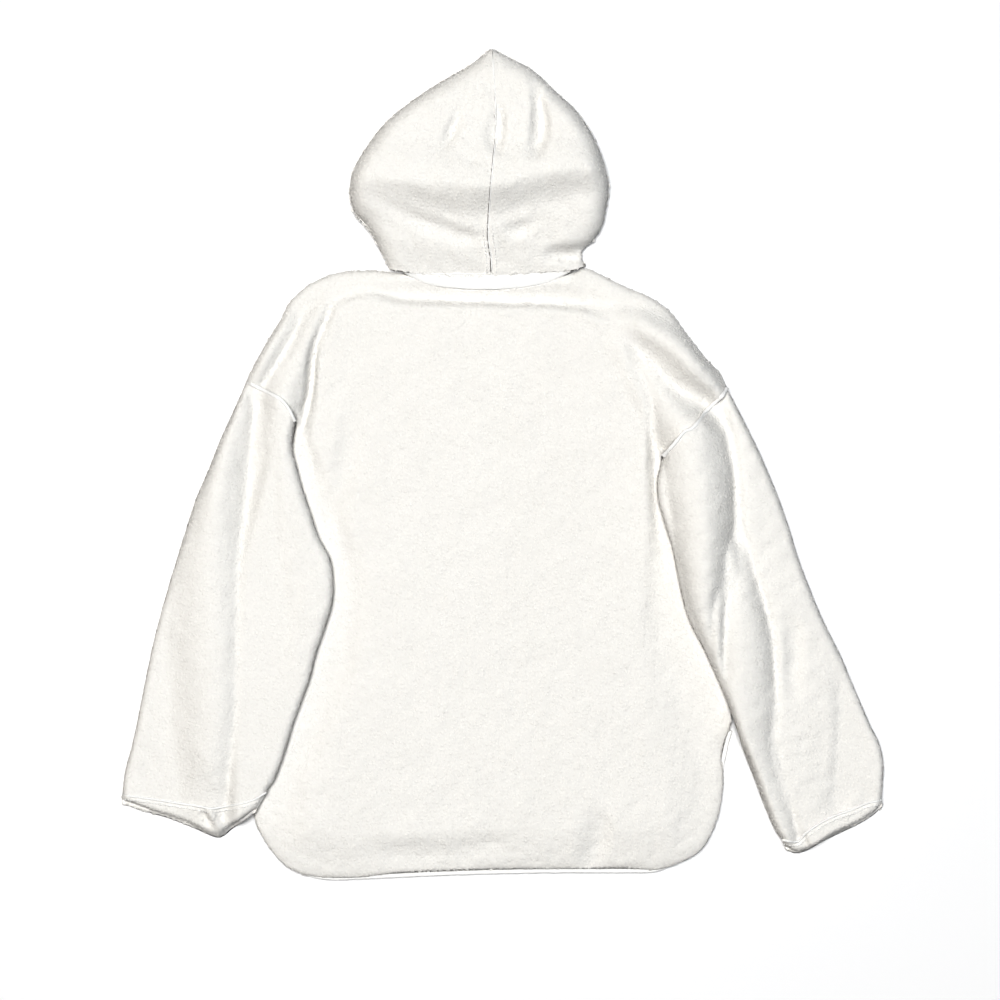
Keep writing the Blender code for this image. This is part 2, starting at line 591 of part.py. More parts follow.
def front_panel(finish):
    across = spread(560.0, 34)[[0, 1, 2, *range(4, 31, 2), 31, 32, 33]]
    down = body_rows(31)
    down = down[[*range(ARMHOLE_ROWS), *range(ARMHOLE_ROWS + 1, len(down) - 3, 2), -3, -2, -1]]
    shoulders = smooth(SHOULDERS)
    head = np.vstack([shoulders[shoulders[:, 0] < -130], smooth(FRONT_NECK),
                      shoulders[shoulders[:, 0] > 90]])
    side_left = np.array(SIDE_LEFT)
    side_right = np.array(SIDE_RIGHT)
    hidden_left = np.vstack([smooth(side_left[side_left[:, 1] > -275]), smooth(FRONT_VENT_LEFT)])
    hidden_right = np.vstack([smooth(side_right[side_right[:, 1] > -230]),
                              smooth(FRONT_VENT_RIGHT)])
    left = split_side(smooth(ARMHOLE_LEFT), hidden_left, down, ARMHOLE_SHARE)
    right = split_side(smooth(ARMHOLE_RIGHT), hidden_right, down, ARMHOLE_SHARE)
    grid = patch(head, smooth(FRONT_HEM), left, right, across, down)
    turned = [head[head[:, 0] < -130], head[head[:, 0] > 90], hidden_left, hidden_right]
    to_edge = np.min([nearest(grid, line)[0] for line in turned], axis=0)
    slack = 0.4 * np.maximum(back_relief(grid) - PLATEAU - 1, 0) * ease((to_edge - 8) / 20)
    under = 3.0 * (1 - crown(to_edge / 5.0))
    return layer("front_panel", grid, FLEECE + slack, under, finish)


def hem_binding(finish):
    """The narrow binding round the front's curved hem, from one side vent to the other."""
    down = np.linspace(0, 1, 56)
    outer = smooth(BINDING)
    inner = offset(outer, -BINDING_WIDTH)
    edges = np.stack([at(line, down) for line in (outer, outer * 0.5 + inner * 0.5, inner)], 1)
    top = np.full(edges.shape[:2], BINDING_HEIGHT)
    top[:, [0, 2]] -= 1.4
    return layer("hem_binding", edges, top, np.zeros(top.shape), finish)


# ---------------------------------------------------------------- sleeves and cuffs
Arm = namedtuple("Arm", "name seam seam_side outer inner line end support support_side folds")
ARMS = [
    Arm("left", ARMHOLE_LEFT, -1, SLEEVE_LEFT_OUTER, SLEEVE_LEFT_INNER, CUFF_LINE_LEFT,
        CUFF_END_LEFT, SIDE_LEFT, 1, SLEEVE_LEFT_FOLDS),
    Arm("right", ARMHOLE_RIGHT, 1, SLEEVE_RIGHT_OUTER, SLEEVE_RIGHT_INNER, CUFF_LINE_RIGHT,
        CUFF_END_RIGHT, SIDE_RIGHT, -1, SLEEVE_RIGHT_FOLDS),
]
SLIT_INSET = 4           # columns between a long edge and the slit


def sleeve_floor(points, arm):
    """Underside of a sleeve: the floor, or the top of the body where it lies on it."""
    distance, side, _ = nearest(points, smooth(arm.support))
    inwards = distance * side * arm.support_side
    return ON_BODY * ease((inwards + STEP_START) / (STEP_START - STEP_END))


def arm_surfaces(grid, arm):
    """Top and underside of a sleeve or cuff over its grid, with both long edges rolled."""
    floor = sleeve_floor(grid, arm)
    full = np.maximum(SLEEVE_FLAT + folds_height(grid, arm.folds), floor + SLEEVE_FLAT)
    to_edge = np.minimum(nearest(grid, grid[:, 0])[0], nearest(grid, grid[:, -1])[0])
    middle = floor + FLEECE + GAP
    top = middle + (full - middle) * crown(to_edge / SLEEVE_ROLL)
    under = middle - (middle - floor) * crown(to_edge / UNDER_ROLL)
    return top, under


def arm_tube(name, grid, top, under, finish):
    slit_top = top - FLEECE
    slit_under = np.maximum(slit_top - SLIT, under + FLEECE - 1)
    return tube(name, grid, top, under, slit_top, slit_under, SLIT_INSET, finish)


def sleeve(arm, finish):
    across = spread(180.0, 20)
    down = spread(470.0, 25, edge=(3.0, 10.0))
    seam = at(smooth(arm.seam), np.linspace(0, 1, ARMHOLE_ROWS))
    seam = offset(seam, SEAM_GAP * arm.seam_side)
    line = offset(smooth(arm.line), -SEAM_GAP / 2 * arm.seam_side)
    grid = patch(seam, line, at(smooth(arm.outer), down), at(smooth(arm.inner), down), across, down)
    top, under = arm_surfaces(grid, arm)
    to_seam = np.minimum(nearest(grid, grid[0])[0], nearest(grid, grid[-1])[0])
    top -= SEAM_SINK * (1 - crown(to_seam / SEAM_ROLL))
    return arm_tube("sleeve_" + arm.name, grid, top, under, finish)


def cuff(arm, finish):
    across = spread(160.0, 20)
    down = np.array([0, 0.3, 0.65, 1.0])
    line = offset(smooth(arm.line), SEAM_GAP / 2 * arm.seam_side)
    end = smooth(arm.end)
    left = np.linspace(line[0], end[0], len(down))
    right = np.linspace(line[-1], end[-1], len(down))
    grid = patch(line, end, left, right, across, down)
    top, under = arm_surfaces(grid, arm)
    middle = (top + under) / 2
    to_end = nearest(grid, grid[-1])[0]
    top -= 3.0 * (1 - crown(to_end / CUFF_ROLL))
    top -= SEAM_SINK * (1 - crown(nearest(grid, grid[0])[0] / SEAM_ROLL))
    top = np.maximum(top, middle)
    return arm_tube("cuff_" + arm.name, grid, top, under, finish)


# ---------------------------------------------------------------- the hood
def hood_grid(head, foot, left, right):
    across = np.array([0, 0.018, 0.06, 0.16, 0.30, 0.44, 0.58, 0.72, 0.86, 1.0])
    down = spread(270.0, 18, edge=(4.0, 12.0))
    if left is not HOOD_LEFT:
        across = 1 - across[::-1]
    return patch(head, foot, at(smooth(left), down), at(smooth(right), down), across, down)


def hood_surfaces(grid):
    """Top of the hood's cloth and its underside, over the folded front."""
    heights = np.array(HOOD_PROFILE, float)
    full = np.interp(grid[..., 1], heights[:, 0], heights[:, 1]) + folds_height(grid, HOOD_FOLDS)
    to_edge = np.minimum(nearest(grid, smooth(HOOD_LEFT))[0], nearest(grid, smooth(HOOD_RIGHT))[0])
    rim = HOOD_RIM + RIM
    top = rim + (full - rim) * crown(to_edge / HOOD_ROLL)
    under = HOOD_RIM + (full - FLEECE - HOOD_RIM) * crown((to_edge - 5) / (HOOD_ROLL - 5))
    return top, np.minimum(under, top - RIM)


def hood(finish, hidden):
    """Two panels that meet at the centre seam, over the hood's own folded front."""
    seam = smooth(HOOD_CENTRE)
    neck = smooth(NECK_SEAM)
    tip = np.array([HOOD_LEFT[0], HOOD_CENTRE[0], HOOD_RIGHT[0]], float)
    at_seam = np.abs(neck[:, 0] - HOOD_CENTRE[-1][0]).argmin()
    halves = (
        ("hood_left", tip[:2], neck[:at_seam + 1], HOOD_LEFT, offset(seam, -GAP / 2)),
        ("hood_right", tip[1:], neck[at_seam:], offset(seam, GAP / 2), HOOD_RIGHT),
    )
    grids = []
    for name, head, foot, left, right in halves:
        if name == "hood_left":
            head = np.array([head[0], head[1] - (GAP / 2, 0)])
            foot = np.vstack([foot[:-1], foot[-1] - (GAP / 2, 0)])
        else:
            head = np.array([head[0] + (GAP / 2, 0), head[1]])
            foot = np.vstack([foot[0] + (GAP / 2, 0), foot[1:]])
        grid = hood_grid(head, foot, left, right)
        grids.append(grid)
        top, under = hood_surfaces(grid)
        to_seam = np.minimum(nearest(grid, seam)[0], nearest(grid, grid[-1])[0])
        top = np.maximum(top - SEAM_SINK * (1 - crown(to_seam / SEAM_ROLL)), under + RIM)
        layer(name, grid, top, under, finish)
    grid = np.concatenate([grids[0], grids[1][:, 1:]], axis=1)
    under = hood_surfaces(grid)[1]
    to_edge = np.min([nearest(grid, grid[:, 0])[0], nearest(grid, grid[:, -1])[0]], axis=0)
    floor = 3.0 * (1 - crown(to_edge / 6.0))
    layer("hood_fold", grid, under - GAP, floor, hidden)


def neck_band(finish):
    """The smooth tape over the seam between the back and the hood."""
    across = np.linspace(0, 1, 16)
    head, foot = at(smooth(BAND_HEAD), across), at(smooth(BAND_FOOT), across)
    grid = np.stack([head, head * 0.5 + foot * 0.5, foot])
    top = np.full(grid.shape[:2], BAND_TOP_HEIGHT)
    top[[0, 2]] -= 1.0
    under = np.full(top.shape, FLEECE + 2 * GAP)
    return layer("neck_band", grid, top, under, finish)


def main():
    for old in list(bpy.data.objects):
        bpy.data.objects.remove(old, do_unlink=True)
    fleece = material("ivory fleece", (0.90, 0.89, 0.85), 0.95)
    under_fleece = material("ivory fleece, hidden fold", (0.86, 0.85, 0.81), 0.95)
    tape = material("white tape", (0.93, 0.93, 0.91), 0.7)
    front_panel(fleece)
    back_panel(fleece)
    hem_binding(tape)
    for arm in ARMS:
        sleeve(arm, fleece)
        cuff(arm, fleece)
    hood(fleece, under_fleece)
    neck_band(tape)


main()
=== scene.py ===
"""Dresses the frame of a hooded sherpa fleece pullover that lies flat on its front.

It is laid out as an add-on and run as a script. Tables of outlines and folds are in
millimetres; meshes, settings and the frame are in metres. +Y points to the tip of the hood.
"""

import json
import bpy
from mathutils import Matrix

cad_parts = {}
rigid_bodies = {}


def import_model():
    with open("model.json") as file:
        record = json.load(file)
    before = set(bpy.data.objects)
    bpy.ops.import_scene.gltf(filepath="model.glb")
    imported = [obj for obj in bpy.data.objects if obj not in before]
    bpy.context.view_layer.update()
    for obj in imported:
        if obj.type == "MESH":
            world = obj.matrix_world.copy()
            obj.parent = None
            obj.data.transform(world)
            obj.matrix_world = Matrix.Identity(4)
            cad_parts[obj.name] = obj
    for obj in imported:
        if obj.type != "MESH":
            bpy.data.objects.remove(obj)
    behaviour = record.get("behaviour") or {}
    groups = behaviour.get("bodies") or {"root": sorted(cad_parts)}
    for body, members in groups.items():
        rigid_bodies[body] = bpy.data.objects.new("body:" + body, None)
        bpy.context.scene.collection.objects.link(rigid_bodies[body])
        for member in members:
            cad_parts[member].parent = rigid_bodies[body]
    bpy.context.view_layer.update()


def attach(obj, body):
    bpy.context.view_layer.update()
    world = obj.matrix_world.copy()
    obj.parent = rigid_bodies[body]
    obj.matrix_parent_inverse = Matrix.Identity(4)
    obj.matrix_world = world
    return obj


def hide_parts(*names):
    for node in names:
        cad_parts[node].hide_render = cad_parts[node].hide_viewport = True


bl_info = {
    "name": "Sherpa Fleece Pullover",
    "version": (1, 0, 0),
    "blender": (4, 5, 0),
    "location": "3D View > Sidebar > Pullover",
    "description": "Builds the cloth, pile and tapes of a hooded fleece pullover, and its stage",
    "category": "Object",
}

from collections import namedtuple

import bmesh
import bpy
import numpy as np
from bpy.props import FloatProperty, FloatVectorProperty, PointerProperty
from mathutils import Vector
from mathutils.bvhtree import BVHTree

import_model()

MM = 0.001

# ---------------------------------------------------------------- sizes, in millimetres
FLEECE = 6.0             # one layer of fleece, pile included
GAP = 0.3                # air between pieces that lie on or against each other
SEAM_GAP = 0.4           # air between two pieces that meet at a curved armhole seam
BODY_FLAT = 2 * FLEECE + GAP        # height of the two body panels where nothing is folded
SLEEVE_FLAT = 15.0       # height of a flattened sleeve with its slit
SLIT = 2.5               # height of the slit inside a sleeve
ON_BODY = BODY_FLAT + 0.7           # underside of a sleeve where it lies on the body
STEP_START = 24.0        # a sleeve leaves the floor this far outside the body's edge ...
STEP_END = 12.0          # ... and is level with the top of the body from here inwards
TOP_STEP = 12.0          # the top of a sleeve starts to rise this much farther out
PLATEAU = 6.0            # how far the middle of the back stands above its sides
RIM = 1.2                # height of the cut edge of a panel before it turns over
EDGE_ROLL = 14.0         # width over which a panel's outer edge turns down
SLEEVE_ROLL = 8.0        # the same for the long edges of a sleeve
CUFF_ROLL = 6.0          # and for the open end of a cuff
CUFF_LIP = 4.5           # the lower layer of a cuff shows this far beyond the upper one
SEAM_ROLL = 2.6          # the same where two pieces are sewn together
SEAM_SINK = 0.6          # and how far their edges sink there
FLOOR_ROLL = 5.0         # width over which an edge that lies on the floor turns up ...
FLOOR_LIFT = 3.0         # ... and how far it lifts
HOOD_RIM = 7.4           # underside of the hood's outer edge, above its folded front
HOOD_ROLL = 20.0         # width over which the hood turns down to its rim
HOOD_NECK = 15.0         # height of the hood at its neck seam
HOOD_TIP = 25.0          # and at its tip
HOOD_CROWN = 38.5        # and of its crown, without its folds
BAND_TUCK = 3.5          # how far its tape reaches under the hood and over the back
DEEPEST_CREASE = -5.0    # lowest that a fold brings the back below its flat cloth
BINDING_WIDTH = 5.5      # of the binding round the front's hem
BINDING_HEIGHT = 6.0
CELL = 4.0               # side of one cell of the fine grids
PILE_DEPTH = 0.6         # how far the ground of the pile lies under the solid's surface
BARE_SEAM = 1.3          # half width of a sewn line, where no pile stands up
TAPE_DEPTH = 1.1         # from the top of a tape over a seam down to its foot
ARMHOLE_TAPE = 4.0       # width of the tape over an armhole seam, and how far it stands up
ARMHOLE_TAPE_RISE = 1.0
CUFF_TAPE = 2.6          # the same over a cuff's seam
CUFF_TAPE_RISE = 0.9
HOOD_TAPE = 1.7          # and over the hood's centre seam
HOOD_TAPE_RISE = 0.3

# ---------------------------------------------------------------- outlines: x, y
SHOULDERS = [
    (-282, 92), (-274, 109), (-262, 131), (-246, 157), (-235, 178), (-219, 194), (-201, 205),
    (-179, 212), (-154, 214), (-130, 213), (-110, 210), (-61, 197), (-13, 195), (33, 199),
    (76, 211), (89, 217), (107, 210), (135, 196), (163, 184), (185, 167), (202, 144), (224, 116),
    (238, 102), (246, 85),
]
ARMHOLE_LEFT = [(-282, 92), (-264, 83), (-243, 72), (-233, 60), (-227, 47)]
ARMHOLE_RIGHT = [(246, 85), (238, 74), (222, 59), (207, 41), (197, 36), (187, 24), (174, 9)]
SIDE_LEFT = [
    (-227, 47), (-234, 17), (-244, -27), (-255, -71), (-265, -109), (-271, -192), (-274, -280),
    (-275, -346), (-273, -387), (-264, -408), (-252, -426), (-237, -441), (-219, -449),
]
SIDE_RIGHT = [
    (174, 9), (182, -16), (196, -49), (217, -82), (237, -109), (245, -170), (251, -236),
    (251, -280), (243, -304), (240, -321), (242, -340), (240, -368), (234, -392), (222, -417),
    (207, -430), (187, -439),
]
HEM = [
    (-219, -449), (-199, -452), (-169, -453), (-144, -451), (-113, -447), (-69, -445), (-3, -443),
    (63, -443), (129, -442), (167, -444), (187, -439),
]
FRONT_NECK = [
    (-130, 213.4), (-110, 210.7), (-61, 205.2), (-13, 206.3), (33, 208.5), (76, 211.8),
    (89, 216.7),
]
FRONT_VENT_LEFT = [
    (-274, -280), (-273, -335), (-266, -365), (-261, -386), (-253, -403), (-242, -419),
    (-229, -432), (-216, -443),
]
FRONT_VENT_RIGHT = [
    (251, -236), (250, -278), (242, -302), (237, -324), (234, -346), (230, -366), (226, -389),
    (215, -411), (200, -423), (182, -433),
]
FRONT_HEM = [
    (-216, -443), (-201, -448), (-184, -449), (-157, -448), (-113, -446), (-69, -444), (-3, -442),
    (63, -441), (129, -440), (162, -439), (182, -433),
]
BINDING = [
    (252, -292), (248, -307), (244, -326), (241, -346), (238, -367), (232, -391), (220, -415),
    (205, -428), (187, -439), (167, -447), (129, -448), (63, -448), (-3, -449), (-69, -451),
    (-113, -453), (-157, -455), (-184, -456), (-204, -454), (-220, -449), (-237, -439),
    (-250, -425), (-262, -405), (-268, -387), (-272, -368),
]
NECK_SEAM = [
    (-124, 214.5), (-110, 212.3), (-61, 206.8), (-13, 207.9), (33, 210.1), (76, 213.4),
    (90, 218.9),
]
BAND_HEAD = [
    (-109, 211.2), (-86, 207.4), (-61, 205.9), (-13, 207.0), (33, 209.2), (63, 211.4), (75, 212.5),
]
BAND_FOOT = [
    (-109, 210.4), (-86, 203.2), (-61, 198.3), (-13, 196.2), (33, 200.3), (63, 208.2), (75, 211.8),
]
HOOD_CENTRE = [
    (-12, 456), (-10, 424), (-8, 391), (-8, 358), (-10, 336), (-13, 303), (-15, 276), (-16, 248),
    (-13, 228), (-12, 208),
]
HOOD_LEFT = [
    (-15, 456), (-37, 439), (-61, 425), (-84, 411), (-108, 394), (-127, 378), (-143, 359),
    (-157, 338), (-165, 322), (-168, 305), (-167, 289), (-161, 274), (-150, 263), (-141, 249),
    (-133, 233), (-124, 215),
]
HOOD_RIGHT = [
    (-9, 456), (10, 446), (29, 436), (45, 423), (59, 409), (76, 394), (88, 379), (99, 361),
    (107, 343), (113, 324), (116, 303), (113, 282), (109, 263), (99, 247), (88, 237), (86, 228),
    (90, 219),
]
SLEEVE_LEFT_OUTER = [
    (-282, 92), (-292, 69), (-311, 27), (-323, -3), (-337, -36), (-346, -63), (-356, -95),
    (-366, -128), (-380, -178), (-389, -217), (-398, -262), (-407, -305), (-415, -335),
    (-418, -361),
]
SLEEVE_LEFT_INNER = [
    (-227, 47), (-230, 21), (-226, 2), (-219, -24), (-211, -48), (-201, -78), (-189, -101),
    (-185, -124), (-186, -150), (-194, -178), (-204, -207), (-211, -235), (-221, -262),
    (-229, -284), (-239, -317), (-249, -343), (-258, -357),
]
CUFF_LINE_LEFT = [
    (-418, -361), (-381, -366), (-356, -370), (-333, -373), (-316, -375), (-289, -370),
    (-272, -365), (-258, -357),
]
CUFF_END_LEFT = [
    (-418, -372), (-394, -380), (-369, -387), (-343, -397), (-327, -404), (-314, -409),
    (-306, -406), (-299, -400), (-286, -391), (-271, -380),
]
SLEEVE_RIGHT_OUTER = [
    (246, 85), (262, 54), (277, 24), (287, 2), (302, -34), (315, -71), (324, -101), (342, -148),
    (354, -175), (370, -207), (387, -247), (403, -284), (414, -307), (418, -329), (417, -351),
    (416, -367),
]
SLEEVE_RIGHT_INNER = [
    (174, 9), (168, -16), (169, -38), (173, -53), (179, -73), (185, -93), (195, -142), (204, -172),
    (217, -197), (228, -221), (238, -243), (248, -268), (255, -289), (262, -310), (275, -343),
    (287, -375), (299, -402), (305, -410),
]
CUFF_LINE_RIGHT = [
    (416, -367), (399, -370), (382, -377), (362, -384), (346, -392), (332, -402), (322, -412),
    (305, -410),
]
CUFF_END_RIGHT = [
    (416, -375), (407, -384), (389, -395), (370, -404), (350, -414), (334, -423), (321, -426),
    (311, -422),
]

# ---------------------------------------------------------------- folds
# One row for each point of a fold's line: x, y, height of the ridge (a trough is negative), the
# width of its slope on the left and on the right, as one walks down the table, and how each
# slope ends: 2 fades out softly, 1 runs out in a corner and less rolls over into a sharp crease.
Fold = namedtuple("Fold", "x y height left right left_end right_end", defaults=(2.0, 2.0))

VALLEY_RIGHT = [
    Fold(128, 143, 0, 9, 10), Fold(151, 133, -3, 10, 14), Fold(173, 115, -6, 12, 20, 1.4),
    Fold(195, 91, -9, 14, 26, 1.2), Fold(215, 73, -10, 15, 28, 1.2), Fold(231, 57, -8, 13, 22, 1.4),
    Fold(241, 32, 0, 9, 12),
]
BACK_FOLDS = {
    "crease under the neck": [
        Fold(-150, 184, 0, 14, 6), Fold(-119, 182, -3.5, 20, 7, 1.2, 1.4),
        Fold(-69, 180, -4.8, 19, 7, 1, 1.4), Fold(-3, 178, -5, 18, 7, 1, 1.4),
        Fold(50, 178, -5, 19, 7, 1, 1.4), Fold(90, 173, -4, 22, 9, 1.2), Fold(130, 163, -2, 18, 10),
        Fold(152, 156, 0, 10, 8),
    ],
    "shoulder ridge right": [
        Fold(79, 172, 0, 12, 10), Fold(113, 163, 6, 16, 16), Fold(145, 155, 12, 22, 22, 2, 1.2),
        Fold(176, 138, 18, 26, 28, 2, 1.1), Fold(200, 117, 22, 28, 31, 2, 1.1),
        Fold(217, 100, 20, 24, 28, 2, 1.1), Fold(236, 80, 12, 14, 18, 2, 1.2),
    ],
    "sleeve head right": [
        Fold(112, 148, 0, 13, 18), Fold(135, 126, 4, 22, 26, 1.4), Fold(158, 98, 8, 32, 34, 1.2),
        Fold(177, 72, 13, 42, 36, 1), Fold(192, 48, 20, 44, 38, 1), Fold(198, 38, 24, 42, 37, 1),
    ],
    "valley below the ridge": VALLEY_RIGHT,
    "shoulder lip left": [
        Fold(-232, 176, 0, 10, 10), Fold(-243, 156, 8, 18, 13, 1.1, 1),
        Fold(-257, 134, 11, 19, 14, 1, 1), Fold(-268, 112, 11, 18, 13, 1, 1),
        Fold(-278, 92, 6, 14, 12, 1.2, 1), Fold(-284, 80, 0, 9, 9),
    ],
    "sleeve head left": [
        Fold(-192, 180, 2, 8, 10, 1.2, 1.2), Fold(-206, 150, 7, 11, 17, 1, 1),
        Fold(-221, 118, 10, 15, 20, 1, 1), Fold(-236, 87, 12, 25, 24, 1, 1),
        Fold(-243, 70, 13, 24, 26, 1),
    ],
    "crease left": [
        Fold(-187, 176, 0, 5, 5), Fold(-191, 168, -3, 6, 6, 1.3, 1.3),
        Fold(-203, 140, -4, 6, 6, 1.3, 1.3), Fold(-209, 118, -5, 6, 6, 1.3, 1.3),
        Fold(-211, 86, -5, 6, 6, 1.3, 1.3), Fold(-216, 60, -5, 6, 6, 1.3, 1.3),
        Fold(-221, 40, -3, 6, 6), Fold(-225, 26, 0, 5, 5),
    ],
    "crease right": [
        Fold(140, 118, 0, 8, 8), Fold(152, 94, -2, 9, 10), Fold(161, 74, -2, 9, 10),
        Fold(165, 51, -2, 9, 10), Fold(167, 2, -2, 9, 10), Fold(171, -53, -2, 9, 10),
        Fold(177, -98, -2, 9, 10), Fold(180, -120, 0, 8, 8),
    ],
    "trough left": [
        Fold(-157, 72, 0, 18, 18), Fold(-168, 17, -3, 20, 20), Fold(-182, -43, -3, 20, 20),
        Fold(-180, -82, 0, 18, 18),
    ],
    "hem dent left": [
        Fold(-150, -421, 0, 15, 22), Fold(-108, -424, -3, 20, 26), Fold(-50, -424, -2, 20, 24),
        Fold(-14, -414, -2.5, 16, 20), Fold(10, -424, 0, 13, 15),
    ],
    "hem dent right": [
        Fold(104, -375, 0, 15, 20), Fold(107, -400, -5, 18, 26), Fold(98, -432, -4, 18, 24),
    ],
}
SLEEVE_LEFT_FOLDS = {
    "outer plane": [
        Fold(-283, 84, 2, 9, 8), Fold(-289, 62, 8, 16, 13, 1.2),
        Fold(-299, 28, 11, 24, 17, 1.2, 1.4), Fold(-309, -10, 14, 30, 20, 1.2, 1.6),
        Fold(-314, -43, 16, 36, 30, 1.2, 2),
        Fold(-319, -87, 17, 42, 42, 1.2), Fold(-318, -131, 17, 44, 52, 1.2),
        Fold(-316, -181, 17, 43, 56, 1.2), Fold(-315, -236, 17, 42, 56, 1.2),
        Fold(-315, -280, 16, 38, 54, 1.2), Fold(-316, -325, 13, 30, 49, 1.4),
        Fold(-316, -368, 6, 22, 40),
    ],
    "inner roll": [
        Fold(-243, 70, 13, 24, 26, 1), Fold(-241, 39, 14, 38, 34, 1.1),
        Fold(-239, -5, 14, 50, 42, 1.3), Fold(-233, -49, 15, 64, 50, 1.4, 1.6),
        Fold(-222, -98, 15, 80, 62, 1.5, 1.6), Fold(-214, -148, 15, 86, 68, 1.5, 1.6),
        Fold(-219, -192, 14, 76, 64, 1.6, 1.6), Fold(-236, -236, 13, 62, 47, 1.6, 1.6),
        Fold(-250, -280, 12, 52, 36, 1.6, 1.6), Fold(-263, -325, 10, 40, 26, 1.6),
        Fold(-274, -368, 8, 30, 20, 1.6),
    ],
}
CUFF_LEFT_FOLDS = {
    "pinch": [
        Fold(-325, -374, 0, 5, 5), Fold(-319, -380, 5, 6, 6), Fold(-313, -391, 6, 6, 6),
        Fold(-308, -400, 3, 5, 5),
    ],
    "dent beside the pinch": [
        Fold(-330, -377, 0, 4, 5), Fold(-326, -384, -5, 5, 7), Fold(-322, -393, -5, 5, 7),
        Fold(-319, -400, 0, 4, 5),
    ],
}
SLEEVE_RIGHT_FOLDS = {
    "outer plane": [
        Fold(247, 72, 2, 24, 8), Fold(253, 50, 5, 34, 9), Fold(260, 28, 6, 42, 10),
        Fold(265, -16, 6, 50, 10), Fold(268, -60, 6, 58, 10), Fold(275, -88, 6, 64, 10),
        Fold(285, -120, 6, 70, 10), Fold(294, -148, 6, 75, 10), Fold(303, -192, 6, 84, 10),
        Fold(306, -236, 6, 91, 10), Fold(304, -280, 6, 95, 10), Fold(302, -310, 5, 95, 10),
        Fold(315, -357, 5, 88, 10), Fold(331, -400, 4, 77, 9),
    ],
    "inner roll": [
        Fold(200, 38, 24, 42, 37, 1, 1), Fold(206, 12, 27, 42, 43, 1, 1),
        Fold(211, -16, 29, 43, 45, 1, 1), Fold(215, -49, 30, 40, 43, 1, 1),
        Fold(217, -82, 30, 36, 39, 1, 1), Fold(218, -120, 29, 31, 32, 1, 1),
        Fold(218, -148, 26, 26, 26, 1, 1.2), Fold(223, -181, 20, 19, 20, 1, 1.5),
        Fold(230, -214, 11, 11, 14, 1, 2), Fold(238, -236, 0, 8, 10),
    ],
    "valley below the ridge": VALLEY_RIGHT,
    "lobe beside the valley": [
        Fold(257, -71, 0, 8, 11), Fold(259, -98, 6, 14, 14, 1.4), Fold(258, -126, 12, 22, 22, 1.2),
        Fold(258, -153, 17, 30, 28, 1.1, 0.9), Fold(260, -192, 20, 36, 33, 0.9, 0.9),
        Fold(260, -236, 20, 39, 34, 0.9, 0.9), Fold(261, -274, 19, 41, 33, 0.9, 0.9),
        Fold(268, -307, 16, 32, 24, 0.9, 0.9), Fold(280, -335, 13, 25, 18, 0.9, 0.9),
        Fold(294, -370, 10, 21, 16, 0.9, 0.9), Fold(306, -405, 7, 16, 14, 0.9, 0.9),
    ],
    "outer trough": [
        Fold(367, -219, 0, 15, 15), Fold(377, -269, -4, 18, 20), Fold(377, -318, -5, 20, 22),
        Fold(367, -370, -3, 18, 20),
    ],
    "upper trough": [
        Fold(315, -163, 0, 13, 13), Fold(319, -192, -4, 15, 15), Fold(318, -236, -3, 15, 15),
        Fold(316, -263, 0, 13, 13),
    ],
}
HOOD_FOLDS = {
    "roll across the crown": [
        Fold(-160, 308, 2, 30, 20), Fold(-143, 312, 4, 40, 30), Fold(-119, 313, 7, 46, 34),
        Fold(-67, 308, 9, 48, 36), Fold(-37, 305, 10, 48, 36), Fold(-9, 306, 10, 46, 35),
        Fold(22, 313, 9, 46, 34), Fold(45, 319, 9, 44, 34), Fold(74, 323, 8, 40, 34),
        Fold(107, 322, 3, 30, 22),
    ],
    "second trough left": [
        Fold(-129, 285, 0, 9, 9), Fold(-102, 272, -3, 9, 15), Fold(-69, 261, -4, 10, 18),
        Fold(-47, 252, -4, 10, 15), Fold(-25, 248, -2, 9, 11),
    ],
    "second trough right": [
        Fold(-1, 254, 0, 9, 9), Fold(19, 259, -4, 9, 13), Fold(43, 271, 0, 9, 9),
    ],
    "tuck at the neck": [
        Fold(42, 229, 0, 10, 8), Fold(56, 230, -6, 12, 10, 1.6), Fold(74, 229, -10, 14, 11, 1.3),
        Fold(95, 231, -10, 14, 11, 1.3),
    ],
    "pleat left": [
        Fold(-46, 392, 0, 9, 9), Fold(-53, 372, -4, 10, 9), Fold(-59, 356, -5, 10, 10),
        Fold(-66, 340, 0, 10, 10),
    ],
    "pleat beside the seam": [
        Fold(-4, 396, 0, 7, 9), Fold(-2, 380, -4, 8, 16), Fold(-4, 360, -6, 8, 22, 1.4),
        Fold(-5, 348, -4, 8, 18), Fold(-6, 336, 0, 7, 7),
    ],
    "pleat right": [
        Fold(35, 425, 0, 8, 9), Fold(41, 391, -7, 9, 12, 2, 1.3), Fold(42, 369, -9, 12, 13, 2, 1.2),
        Fold(38, 347, -7, 12, 13, 2, 1.3), Fold(32, 330, 0, 8, 12),
    ],
}
